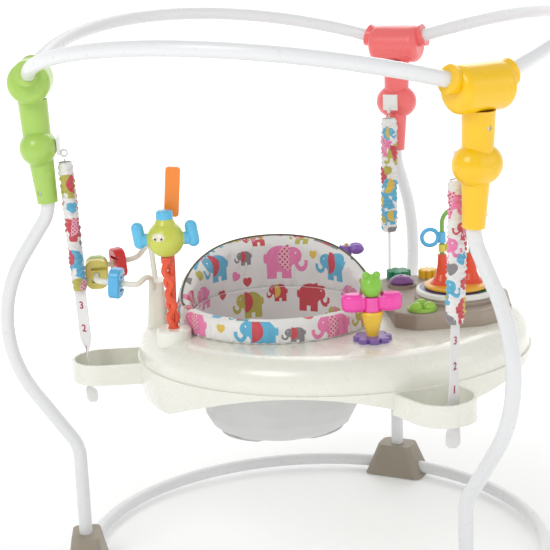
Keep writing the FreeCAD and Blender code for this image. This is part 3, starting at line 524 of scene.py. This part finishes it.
def put_motifs(ob, place, motifs, period):
    """Gives each face its nearest motif, and each corner its place within that motif.
    place turns an array of points and face normals into cloth coordinates in metres, which
    come round again after a period."""
    me = ob.data
    loops = np.zeros(len(me.loops), np.int32)
    me.loops.foreach_get("vertex_index", loops)
    points = np.zeros(len(me.vertices) * 3)
    me.vertices.foreach_get("co", points)
    points = points.reshape(-1, 3)
    starts = np.zeros(len(me.polygons), np.int32)
    totals = np.zeros(len(me.polygons), np.int32)
    centres = np.zeros(len(me.polygons) * 3)
    normals = np.zeros(len(me.polygons) * 3)
    me.polygons.foreach_get("loop_start", starts)
    me.polygons.foreach_get("loop_total", totals)
    me.polygons.foreach_get("center", centres)
    me.polygons.foreach_get("normal", normals)
    centres, normals = centres.reshape(-1, 3), normals.reshape(-1, 3)
    face_of = np.repeat(np.arange(len(starts)), totals)
    middle = place(centres, normals)
    corner = place(points[loops], normals[face_of])

    def away(a, b):
        d = a - b
        d[:, 0] = (d[:, 0] + period / 2) % period - period / 2
        return d

    best = np.full(len(starts), 9.0)
    chosen = np.full(len(starts), -1)
    for i, m in enumerate(motifs):
        d = np.linalg.norm(away(middle, np.array([m["u"], m["v"]])), axis=1) / m["size"]
        nearer = d < best
        best[nearer], chosen[nearer] = d[nearer], i
    chosen[best > FARTHEST] = -1
    spot = np.zeros((len(loops), 3), np.float32)
    body = np.ones((len(loops), 4), np.float32)
    ear = np.ones((len(loops), 4), np.float32)
    mine = chosen[face_of]
    for i, m in enumerate(motifs):
        on = mine == i
        d = away(corner[on], np.array([m["u"], m["v"]])) / m["size"]
        c, s = math.cos(m["turn"]), math.sin(m["turn"])
        spot[on, 0] = (d[:, 0] * c + d[:, 1] * s) * m["face"]
        spot[on, 1] = -d[:, 0] * s + d[:, 1] * c
        spot[on, 2] = m["kind"]
        body[on] = INK[m["body"]]
        ear[on] = INK["rose" if m["kind"] == DOTTED else m["ear"]]
    for key, kind, data in (("motif", "FLOAT_VECTOR", spot), ("motif_body", "FLOAT_COLOR", body),
                            ("motif_ear", "FLOAT_COLOR", ear)):
        attribute = me.attributes.new(key, kind, "CORNER")
        attribute.data.foreach_set("vector" if kind == "FLOAT_VECTOR" else "color", data.ravel())


def motif(u, v, size, body, ear="red", kind=ELEPHANT, face=1, turn=0.0):
    """One motif: place, size in metres, inks, kind, the way it faces (1 or -1) and its turn.
    A dotted elephant's ear is always rose."""
    return {"u": u, "v": v, "size": size, "body": body, "ear": ear, "kind": kind, "face": face,
            "turn": turn}


def scattered(rng, u_span, v_span, sizes, fixed, tries, gap):
    """Motifs at seeded random places that keep clear of each other and of the fixed ones."""
    found = list(fixed)
    names = ["pink", "red", "blue", "olive", "grey", "pink", "blue", "red"]
    heart_size, dotted_share = 0.022, 0.35
    for k in range(tries):
        size = sizes[min(len(sizes) - 1, k * len(sizes) // tries)]
        u, v = rng.uniform(*u_span), rng.uniform(*v_span)
        if all(math.hypot(u - m["u"], v - m["v"]) > gap * (size + m["size"]) for m in found):
            body = names[int(rng.integers(len(names)))]
            ear = names[int(rng.integers(len(names)))]
            if ear == body:
                ear = "yellow"
            if size < heart_size:
                kind = HEART
            else:
                kind = DOTTED if rng.random() < dotted_share else ELEPHANT
            face = 1 if rng.random() < 0.5 else -1
            found.append(motif(u, v, size, body, ear, kind, face, float(rng.normal(0, 0.2))))
    return found


def pressed(ob, pressure, cap, frames, pinned):
    """Blows a closed piece up as cloth and keeps the result, with each point within cap of its
    start and the pinned points still."""
    before = np.zeros(len(ob.data.vertices) * 3)
    ob.data.vertices.foreach_get("co", before)
    before = before.reshape(-1, 3)
    mod = ob.modifiers.new("puff", "CLOTH")
    mod.settings.quality = 5
    mod.settings.mass = 0.3
    mod.settings.tension_stiffness = 12
    mod.settings.compression_stiffness = 12
    mod.settings.shear_stiffness = 6
    mod.settings.bending_stiffness = 0.4
    mod.settings.use_pressure = True
    mod.settings.uniform_pressure_force = pressure
    mod.settings.effector_weights.gravity = 0.0
    group = ob.vertex_groups.new(name="held")
    group.add(pinned, 1.0, "REPLACE")
    mod.settings.vertex_group_mass = "held"
    mod.point_cache.frame_start = 1
    mod.point_cache.frame_end = frames
    scene.frame_start, scene.frame_end = 1, frames
    for k in range(1, frames + 1):
        scene.frame_set(k)
    dg = bpy.context.evaluated_depsgraph_get()
    shape = ob.evaluated_get(dg)
    after = np.zeros(len(before) * 3)
    shape.data.vertices.foreach_get("co", after)
    after = after.reshape(-1, 3)
    move = after - before
    far = np.linalg.norm(move, axis=1)
    move *= np.minimum(1.0, cap / np.maximum(far, 1e-9))[:, None]
    ob.modifiers.remove(mod)
    ob.vertex_groups.clear()
    ob.data.vertices.foreach_set("co", (before + move).astype(np.float32).ravel())
    ob.data.update()
    scene.frame_set(1)


def applied(ob, mod):
    """Turns a modifier into mesh, with smooth faces."""
    dg = bpy.context.evaluated_depsgraph_get()
    me = bpy.data.meshes.new_from_object(ob.evaluated_get(dg))
    ob.modifiers.remove(mod)
    ob.data = me
    for p in me.polygons:
        p.use_smooth = True


def refined(ob):
    """Divides and rounds a mesh once."""
    mod = ob.modifiers.new("fine", "SUBSURF")
    mod.levels = mod.render_levels = 1
    applied(ob, mod)


def thicken(ob, depth):
    """Gives a cloth surface its thickness, inwards."""
    mod = ob.modifiers.new("thick", "SOLIDIFY")
    mod.thickness = depth
    mod.offset = -1.0
    applied(ob, mod)


def eased(share):
    """A share kept within 0 and 1 and eased at both ends."""
    share = max(0.0, min(1.0, share))
    return share * share * (3 - 2 * share)


# ---- seat cover -----------------------------------------------------------------------------
def back_height(angle):
    """Top of the seat cover at an angle round the seat; 90 degrees is the high back."""
    lead = 0.010
    y = PAD_OUTER * math.sin(math.radians(angle))
    share = max(0.0, min(1.0, (y + lead) / (PAD_OUTER + lead)))
    return RIM_HIGH + (BACK_TOP - RIM_HIGH) * (eased(share) * 0.35 + share * 0.65)


def cover_section(top, low, inner, outer, round_top, round_low, steps):
    """Evenly spaced points round a stuffed wall's section, as (radius, height)."""
    arc_steps = 4
    points = []
    corners = ((inner, top, 180, 90), (outer, top, 90, 0),
               (outer, low, 0, -90), (inner, low, -90, -180))
    for r, z, start, end in corners:
        round_r = round_top if z == top else round_low
        cr = r + round_r if r == inner else r - round_r
        cz = z - round_r if z == top else z + round_r
        for k in range(arc_steps + 1):
            a = math.radians(start + (end - start) * k / arc_steps)
            points.append((cr + round_r * math.cos(a), cz + round_r * math.sin(a)))
    run = [0.0]
    for a, b in zip(points, points[1:] + points[:1]):
        run.append(run[-1] + math.hypot(b[0] - a[0], b[1] - a[1]))
    out = []
    closed = points + points[:1]
    for k in range(steps):
        want = run[-1] * k / steps
        i = max(j for j in range(len(points)) if run[j] <= want)
        t = (want - run[i]) / max(1e-9, run[i + 1] - run[i])
        a, b = closed[i], closed[i + 1]
        out.append((a[0] + (b[0] - a[0]) * t, a[1] + (b[1] - a[1]) * t))
    return out


def seat_cover():
    """The padded rim and high back as one stuffed ring, with a lip hanging over the seat ring."""
    turns, steps = 236, 52
    round_top, round_low = 0.0095, 0.0035
    lip_top, lip_fade, lip_width = 0.440, 0.014, 0.0018
    rows = []
    for i in range(turns):
        angle = 360.0 * i / turns
        a = math.radians(angle)
        section = cover_section(back_height(angle) - 0.003, RIM_LOW + 0.001, PAD_INNER + 0.0015,
                                PAD_OUTER - 0.0012, round_top, round_low, steps)
        row = []
        for r, z in section:
            outer = max(0.0, min(1.0, (r - RING_R + 0.001) / lip_width))
            lower = max(0.0, min(1.0, (lip_top - z) / lip_fade))
            drop = RING_DROP * (outer * lower)
            row.append((SEAT.x + r * math.cos(a), SEAT.y + r * math.sin(a), z - drop))
        rows.append(row)
    ob = grid_mesh("seat_cover", rows, True, True)
    sewn = [v.index for v in ob.data.vertices if v.co.z < RIM_LOW + 0.004]
    pressed(ob, pressure=4.0, cap=0.0035, frames=20, pinned=sewn)
    refined(ob)
    pucker(ob)
    return ob


def pucker(ob):
    """Gathers where the cover is drawn over the ring, and slack folds in the wall."""
    gather_height, hold_height = 0.022, 0.012
    me = ob.data
    for v in me.vertices:
        p = v.co - SEAT
        r = math.hypot(p.x, p.y)
        a = math.atan2(p.y, p.x)
        out = 1.0 if r > (PAD_INNER + PAD_OUTER) / 2 else -1.0
        low = max(0.0, 1.0 - (p.z - RIM_LOW) / gather_height)
        ripple = math.sin(a * 61 + 2.2 * math.sin(a * 7)) * 0.0011 * low
        slack = noise.noise(Vector((a * 5.0, p.z * 26.0, out * 2.0))) * 0.0018
        fold = noise.noise(Vector((a * 17.0 + p.z * 40.0, p.z * 9.0, 5.0 + out))) * 0.0011
        free = min(1.0, (p.z - RIM_LOW) / hold_height + 0.2)
        push = (ripple + (slack + fold) * free) * out
        v.co.x += math.cos(a) * push
        v.co.y += math.sin(a) * push
    me.update()


def cover_place(points, normals):
    """Cloth coordinates of the cover: along the ring, and over it from the inside to the
    outside. The inside wall is shifted down, so its motifs and the outside's don't meet."""
    dx, dy = points[:, 0] - SEAT.x, points[:, 1] - SEAT.y
    a = np.arctan2(dy, dx)
    r = np.hypot(dx, dy)
    radial = (normals[:, 0] * dx + normals[:, 1] * dy) / np.maximum(r, 1e-9)
    z = points[:, 2]
    over_top = np.where(radial > 0.5, z, z + (PAD_OUTER - r))
    v = np.where(radial < -0.5, z + INSIDE_SHIFT, over_top)
    return np.stack([a * COVER_R, v], axis=1)


def piping():
    """Olive cord sewn along the top of the high back."""
    start, sweep_angle, steps, cord_r = -12, 204, 130, 0.0019
    r = (PAD_INNER + PAD_OUTER) / 2 + 0.004
    line = []
    for k in range(steps + 1):
        angle = start + sweep_angle * k / steps
        a = math.radians(angle)
        z = back_height(angle) - 0.0035
        line.append(Vector((SEAT.x + r * math.cos(a), SEAT.y + r * math.sin(a), z)))
    ob = sweep("back_piping", line, cord_r)
    dress(ob, PIPING)
    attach(ob, "seat")


# ---- strap sleeves, webbing and numerals ------------------------------------------------------
def strap_point(z):
    """Centre of a strap at a height, for the post at angle 0."""
    share = (z - LUG_TOP) / (STRAP_TOP[1] - LUG_TOP)
    return Vector((SLOT_R + (STRAP_TOP[0] - SLOT_R) * share, 0.0, z))


def turned(point, angle):
    """A point turned about the row frame's upright axis, by degrees."""
    return Matrix.Rotation(math.radians(angle), 3, "Z") @ point


def sleeve(post, seed):
    """A gathered fabric tube round a spring."""
    low, high, rings, sides = 0.4785, 0.6855, 168, 56
    wide, flat, cloth_depth = 0.0146, 0.0112, 0.0006
    hem_share, middle = 0.035, 0.58
    rows = []
    for i in range(rings):
        share = i / (rings - 1)
        z = low + (high - low) * share
        centre = strap_point(z)
        hem = min(1.0, min(share, 1 - share) / hem_share)
        row = []
        for k in range(sides):
            a = math.tau * k / sides
            c, s = math.cos(a), math.sin(a)
            tight = noise.noise(Vector((seed, c * 0.6, z * 60.0 + s * 0.6)))
            swirl = noise.noise(Vector((c, s, z * 30.0 + seed)))
            wave = math.sin(z * 690.0 + 6.24 * swirl)
            crease = noise.noise(Vector((c * 2.4, s * 2.4, z * 120.0 + seed * 3)))
            bulge = 0.0012 * wave + 0.0013 * tight + 0.0010 * crease
            r_wide = wide + bulge * hem - 0.0026 * (1 - hem)
            r_flat = flat + bulge * hem - 0.0008 * (1 - hem)
            row.append(turned(centre + Vector((r_flat * c, r_wide * s, 0.0)), POSTS[post]))
        rows.append(row)
    ob = grid_mesh(f"strap_sleeve_{post}", rows, False, True)
    thicken(ob, cloth_depth)
    angle = math.radians(POSTS[post])
    axis = turned(strap_point(middle), POSTS[post])

    def place(points, _):
        dx, dy = points[:, 0] - axis.x, points[:, 1] - axis.y
        return np.stack([(np.arctan2(dy, dx) - angle) * SLEEVE_R, points[:, 2]], axis=1)

    rng = np.random.default_rng(seed)
    sizes = (0.052, 0.036, 0.020)
    motifs = scattered(rng, (-0.04, 0.04), (low, high - 0.022), sizes, (), 500, 0.44)
    put_motifs(ob, place, motifs, math.tau * SLEEVE_R)
    dress(ob, PRINT)
    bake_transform(ob)


WEB_SPAN = (0.2885, 0.5075)
TWIST = {"left": 62.0, "front": 14.0, "rear": -58.0}
TAIL_TWIST = {"left": 62.0, "front": -30.0, "rear": 30.0}


def web_turn(post, z):
    """Turn of the webbing, which lies square in its slot and twists above and below it."""
    above, below = (z - 0.364) / 0.040, (0.322 - z) / 0.014
    return TWIST[post] * eased(above) + TAIL_TWIST[post] * eased(below)


def twisted(x, y, turn):
    """A place across the webbing, turned by an angle."""
    c, s = math.cos(turn), math.sin(turn)
    return Vector((x * c - y * s, x * s + y * c, 0.0))


def webbing(post):
    """A strap's flat webbing, from the spring down to a tail below the lug."""
    low, high = WEB_SPAN
    rings, sides, half, thick = 96, 20, 0.0108, 0.00085
    rows = []
    for i in range(rings):
        z = low + (high - low) * i / (rings - 1)
        centre = strap_point(z)
        turn = math.radians(web_turn(post, z))
        point_end = min(1.0, 0.55 + (z - low) / 0.012)
        row = []
        for k in range(sides):
            a = math.tau * k / sides
            y = half * point_end * math.copysign(abs(math.sin(a)) ** 0.35, math.sin(a))
            x = thick * math.copysign(abs(math.cos(a)) ** 0.6, math.cos(a))
            x += 0.0004 * noise.noise(Vector((y * 90, z * 70, 3.0)))
            row.append(turned(centre + twisted(x, y, turn), POSTS[post]))
        rows.append(row)
    ob = grid_mesh(f"webbing_{post}", rows, False, True)
    cap_ends(ob, sides)
    dress(ob, WEB)
    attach(ob, "tray")


def numeral(post, text, z):
    """A height mark printed on the webbing's outer face."""
    face = 0.00105
    curve = bpy.data.curves.new(f"mark_{post}_{text}", "FONT")
    curve.body = text
    curve.size = 0.0165
    curve.align_x = "CENTER"
    curve.align_y = "CENTER"
    curve.extrude = 0.00012
    curve.offset = 0.0003
    holder = bpy.data.objects.new("holder", curve)
    scene.collection.objects.link(holder)
    dg = bpy.context.evaluated_depsgraph_get()
    me = bpy.data.meshes.new_from_object(holder.evaluated_get(dg))
    bpy.data.objects.remove(holder)
    for v in me.vertices:
        across, up, out = v.co
        height = z + up
        turn = math.radians(web_turn(post, height))
        v.co = turned(strap_point(height) + twisted(face + out, across, turn), POSTS[post])
    me.name = f"mark_{post}_{text}"
    ob = bpy.data.objects.new(me.name, me)
    scene.collection.objects.link(ob)
    dress(ob, MARK_INK)
    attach(ob, "tray")


# ---- hanging seat -----------------------------------------------------------------------------
# Height, half width along X and half width along Y, from the rim down.
SLING = ((0.4310, 0.1366, 0.1366), (0.4200, 0.1372, 0.1372), (0.330, 0.1318, 0.1290),
         (0.285, 0.1290, 0.1235), (0.262, 0.1255, 0.1165), (0.243, 0.1150, 0.1030),
         (0.230, 0.0980, 0.0800), (0.2225, 0.0780, 0.0560))
SLING_TOP, SLING_BOTTOM = SLING[0][0], SLING[-1][0]
LINED_ABOVE = 0.27
LEG_R, LEG_TOP, LEG_SPREAD, LEG_Y = 0.040, 0.285, 0.058, -0.008


def sling_radii(z):
    """Half widths of the hanging seat along X and Y at a height."""
    heights, along_x, along_y = zip(*SLING[::-1])
    return float(np.interp(z, heights, along_x)), float(np.interp(z, heights, along_y))


def sling_point(angle, z):
    """A place on the hanging seat, with its folds pressed inwards only."""
    rx, ry = sling_radii(z)
    a = math.radians(angle)
    depth = (SLING_TOP - z) / (SLING_TOP - SLING_BOTTOM)
    fold = math.sin(math.radians(angle) * 11 + 3 * z / 0.1) * 0.0016 * depth
    fold += noise.noise(Vector((math.cos(a) * 2.2, math.sin(a) * 2.2, z * 18))) * 0.004 * depth
    k = min(1.0, 1.0 + fold / rx)
    return Vector((SEAT.x + rx * k * math.cos(a), SEAT.y + ry * k * math.sin(a), z))


def leg_centre(side):
    """Middle of the leg opening on the -X side (-1) or the +X side (1)."""
    return Vector((SEAT.x + side * LEG_SPREAD, SEAT.y + LEG_Y, 0.0))


def from_leg(point, side):
    """Level distance of a point from the middle of a leg opening."""
    centre = leg_centre(side)
    return math.hypot(point.x - centre.x, point.y - centre.y)


def sling_height(point):
    """Height at which the hanging seat's skin passes over a level place."""
    low, high = SLING_BOTTOM, LEG_TOP
    for _ in range(24):
        middle = (low + high) / 2
        rx, ry = sling_radii(middle)
        if math.hypot((point.x - SEAT.x) / rx, (point.y - SEAT.y) / ry) > 1.0:
            low = middle
        else:
            high = middle
    return low


def sling_rows(turns):
    """Rings of points over the flat bottom and up the wall, closer together low down."""
    levels, base_rings = 84, 14
    angles = [360.0 * k / turns for k in range(turns)]
    edge = [sling_point(angle, SLING_BOTTOM) - SEAT for angle in angles]
    rows = []
    for i in range(base_rings):
        share = (i + 0.5) / base_rings
        rows.append([SEAT + Vector((p.x * share, p.y * share, SLING_BOTTOM)) for p in edge])
    for i in range(levels):
        z = SLING_BOTTOM + (SLING_TOP - SLING_BOTTOM) * (i / (levels - 1)) ** 1.5
        rows.append([sling_point(angle, z) for angle in angles])
    return rows


def seat_sling(motifs):
    """Thick cloth bucket, printed inside, with a leg opening on each side of its bottom."""
    turns, cloth_depth = 168, 0.0028
    ob = grid_mesh("sling_cloth", sling_rows(turns), False, True)
    me = ob.data
    keep = [tuple(range(turns))[::-1]]
    for p in me.polygons:
        if p.center.z > LEG_TOP or min(from_leg(p.center, side) for side in (-1, 1)) > LEG_R:
            keep.append(tuple(p.vertices))
    points = [v.co.copy() for v in me.vertices]
    for point in points:
        for side in (-1, 1):
            away = from_leg(point, side)
            if point.z < LEG_TOP and 0.6 * LEG_R < away < LEG_R:
                centre = leg_centre(side)
                point.x = centre.x + (point.x - centre.x) * LEG_R / away
                point.y = centre.y + (point.y - centre.y) * LEG_R / away
    used = sorted({i for f in keep for i in f})
    at = {old: new for new, old in enumerate(used)}
    faces = [tuple(at[i] for i in f) for f in keep]
    trimmed = bpy.data.meshes.new("sling_cloth")
    trimmed.from_pydata([tuple(points[i]) for i in used], [], faces)
    trimmed.update()
    for p in trimmed.polygons:
        p.use_smooth = True
    ob.data = trimmed
    thicken(ob, cloth_depth)
    dress(ob, LINING)
    ob.data.materials.append(PRINT)
    for p in ob.data.polygons:
        out = Vector((p.center.x - SEAT.x, p.center.y - SEAT.y, 0.0))
        lined = p.normal.dot(out) < 0 and p.center.z > LINED_ABOVE
        p.material_index = 1 if lined else 0
    put_motifs(ob, cover_place, motifs, math.tau * COVER_R)
    return ob


def leg_binding(side):
    """Tape rolled over the edge of a leg opening."""
    turns, tape_r = 72, 0.0030
    line = []
    for k in range(turns):
        a = math.tau * k / turns
        p = leg_centre(side) + Vector((math.cos(a), math.sin(a), 0.0)) * LEG_R
        p.z = sling_height(p) - 0.0008
        line.append(p)
    ob = sweep(f"leg_binding_{'left' if side < 0 else 'right'}", line, tape_r, closed=True)
    dress(ob, BINDING)
    return ob


# ---- motifs of the seat, by angle round the seat and height -------------------------------------
def inside_at(angle, z, size, body, ear="red", kind=ELEPHANT, face=1):
    """A motif on the inside wall."""
    return motif(math.radians(angle) * COVER_R, z + INSIDE_SHIFT, size, body, ear, kind, face)


def outside_at(angle, z, size, body, ear="red", kind=ELEPHANT, face=-1):
    """A motif on the outside wall."""
    return motif(math.radians(angle) * COVER_R, z, size, body, ear, kind, face)


INSIDE_FIXED = [
    inside_at(134, 0.478, 0.062, "blue", "red"), inside_at(43, 0.472, 0.064, "blue", "red"),
    inside_at(81, 0.476, 0.080, "pink", "red", DOTTED, -1),
    inside_at(110, 0.486, 0.034, "grey", "red"),
    inside_at(108, 0.442, 0.018, "red", kind=HEART),
    inside_at(59, 0.487, 0.016, "yellow", kind=HEART),
    inside_at(108, 0.405, 0.062, "olive", "red"), inside_at(86, 0.421, 0.040, "red", "yellow"),
    inside_at(60, 0.415, 0.066, "red", "red", ELEPHANT, -1),
    inside_at(100, 0.519, 0.040, "red", "pink"),
    inside_at(70, 0.520, 0.040, "olive", "grey", DOTTED),
    inside_at(152, 0.437, 0.052, "pink", "red", DOTTED),
    inside_at(130, 0.428, 0.018, "red", kind=HEART),
    inside_at(24, 0.428, 0.054, "pink", "red", DOTTED, -1),
]
OUTSIDE_FIXED = [
    outside_at(-105, 0.433, 0.062, "blue", "red"), outside_at(-85, 0.430, 0.034, "grey", "red"),
    outside_at(-62, 0.433, 0.062, "pink", "red", DOTTED),
    outside_at(-127, 0.436, 0.015, "yellow", kind=HEART),
    outside_at(-147, 0.434, 0.056, "pink", "red", DOTTED),
    outside_at(-38, 0.436, 0.050, "olive", "red"),
    outside_at(-76, 0.463, 0.018, "red", kind=HEART),
    outside_at(-116, 0.466, 0.034, "teal", "red"),
]


def eye_piece(name, x, z, wide, tall, lift, finish):
    """A raised oval patch on the front of the head's ball."""
    low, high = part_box("bug_head")
    centre = Vector(((low.x + high.x) / 2, (low.y + high.y) / 2, BUG_BALL_Z))
    rings, turns, sunk = 8, 24, 0.0004
    rows = []
    for i in range(rings + 1):
        reach = math.sin(i / rings * math.pi / 2)
        rise = lift * math.cos(i / rings * math.pi / 2)
        row = []
        for k in range(turns):
            a = math.tau * k / turns
            px, pz = x + wide * reach * math.cos(a), z + tall * reach * math.sin(a)
            depth = math.sqrt(max(0.0, BUG_BALL_R * BUG_BALL_R - px * px - pz * pz))
            row.append(centre + Vector((px, -(depth + rise - sunk), pz)))
        rows.append(row)
    ob = grid_mesh(name, rows, False, True)
    dress(ob, finish)
    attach(ob, "bug_head")


# ---- put it together ----------------------------------------------------------------------------
FIRST_SEED = 11
for number, post in enumerate(POSTS):
    sleeve(post, FIRST_SEED + number)
    webbing(post)
for post in ("left", "front"):
    for text, z in (("3", 0.452), ("2", 0.4135), ("1", 0.378)):
        numeral(post, text, z)
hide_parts("strap_sleeves")
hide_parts("height_webbing")

ROUND_SEAT = (-0.47, 0.47)
inside_motifs = scattered(np.random.default_rng(5), ROUND_SEAT, (-0.40, -0.09),
                          (0.062, 0.044, 0.032, 0.018), INSIDE_FIXED, 1600, 0.50)
outside_motifs = scattered(np.random.default_rng(6), ROUND_SEAT, (0.425, 0.53),
                           (0.058, 0.042, 0.030, 0.018), OUTSIDE_FIXED, 1200, 0.50)

cover = seat_cover()
put_motifs(cover, cover_place, inside_motifs + outside_motifs, math.tau * COVER_R)
dress(cover, PRINT)
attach(cover, "seat")
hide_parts("seat_rim_pad", "seat_back_pad")

sling = seat_sling(inside_motifs)
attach(sling, "seat")
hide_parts("seat_sling")
bindings = [leg_binding(side) for side in (-1, 1)]
for tape in bindings:
    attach(tape, "seat")

piping()
EYE_WHITE = plastic("eye_cream", linear(238, 232, 206), 0.3)
PUPIL = plastic("pupil", linear(40, 38, 36), 0.2)
eye_piece("eye_patch", -0.0105, 0.0076, 0.0100, 0.0066, 0.0016, EYE_WHITE)
eye_piece("eye_left", -0.0155, 0.0048, 0.0020, 0.0020, 0.0028, PUPIL)
eye_piece("eye_right", -0.0060, 0.0052, 0.0020, 0.0020, 0.0028, PUPIL)


# ---- floor, light, camera -----------------------------------------------------------------------
def backdrop():
    """A pale floor that curves up far behind the object and glows a little away from it."""
    profile = [(-16.0, 0.0), (3.0, 0.0), (5.0, 0.15), (6.4, 0.8), (7.0, 2.0), (7.2, 6.0)]
    columns, clearance = (-16.0, -4.0, 4.0, 16.0), 0.0002
    rows = [[Vector((x, y, z - clearance)) for x in columns] for y, z in profile]
    ob = grid_mesh("backdrop", rows, False, False)
    s = Shader("pale_floor")
    tone = s.mix(s.noise(1.5, 3.0), (0.90, 0.90, 0.90, 1), (0.94, 0.94, 0.94, 1))
    s.put(s.surface.inputs["Base Color"], tone)
    s.surface.inputs["Roughness"].default_value = 0.8
    x, y, _ = s.axes()
    s.surface.inputs["Emission Color"].default_value = (1.0, 1.0, 1.0, 1.0)
    glow = s.span(s.radius(x, y, (0.0, 0.0)), 0.3, 1.8, 0.10, 0.55)
    s.put(s.surface.inputs["Emission Strength"], glow)
    dress(ob, s.mat)


def area_light(name, place, target, size, power):
    """A round white softbox that points at a target."""
    data = bpy.data.lights.new(name, "AREA")
    data.shape = "DISK"
    data.size = size
    data.energy = power
    ob = bpy.data.objects.new(name, data)
    scene.collection.objects.link(ob)
    ob.location = place
    ob.rotation_euler = (Vector(target) - Vector(place)).to_track_quat("-Z", "Y").to_euler()


backdrop()
area_light("key", (-1.8, -2.2, 2.8), (0, 0, 0.4), 1.6, 34)
area_light("fill", (2.4, -1.6, 1.6), (0, 0, 0.4), 2.0, 9)
area_light("rim", (0.6, 2.2, 2.4), (0, 0, 0.5), 1.8, 15)
world = bpy.data.worlds.new("studio")
scene.world = world
world.use_nodes = True
background = world.node_tree.nodes["Background"]
background.inputs["Color"].default_value = (1.0, 1.0, 1.0, 1.0)
background.inputs["Strength"].default_value = 0.60
scene.view_settings.view_transform = "Standard"

camera_data = bpy.data.cameras.new("camera")
camera_data.sensor_width = 36.0
camera_data.lens = 94.57
camera = bpy.data.objects.new("camera", camera_data)
scene.collection.objects.link(camera)
camera.matrix_world = (Matrix.Translation((-0.1895, -2.2627, 1.0416))
                       @ Matrix.Rotation(math.radians(-3.51), 4, "Z")
                       @ Matrix.Rotation(math.radians(76.20), 4, "X")
                       @ Matrix.Rotation(math.radians(-2.29), 4, "Z"))
scene.camera = camera
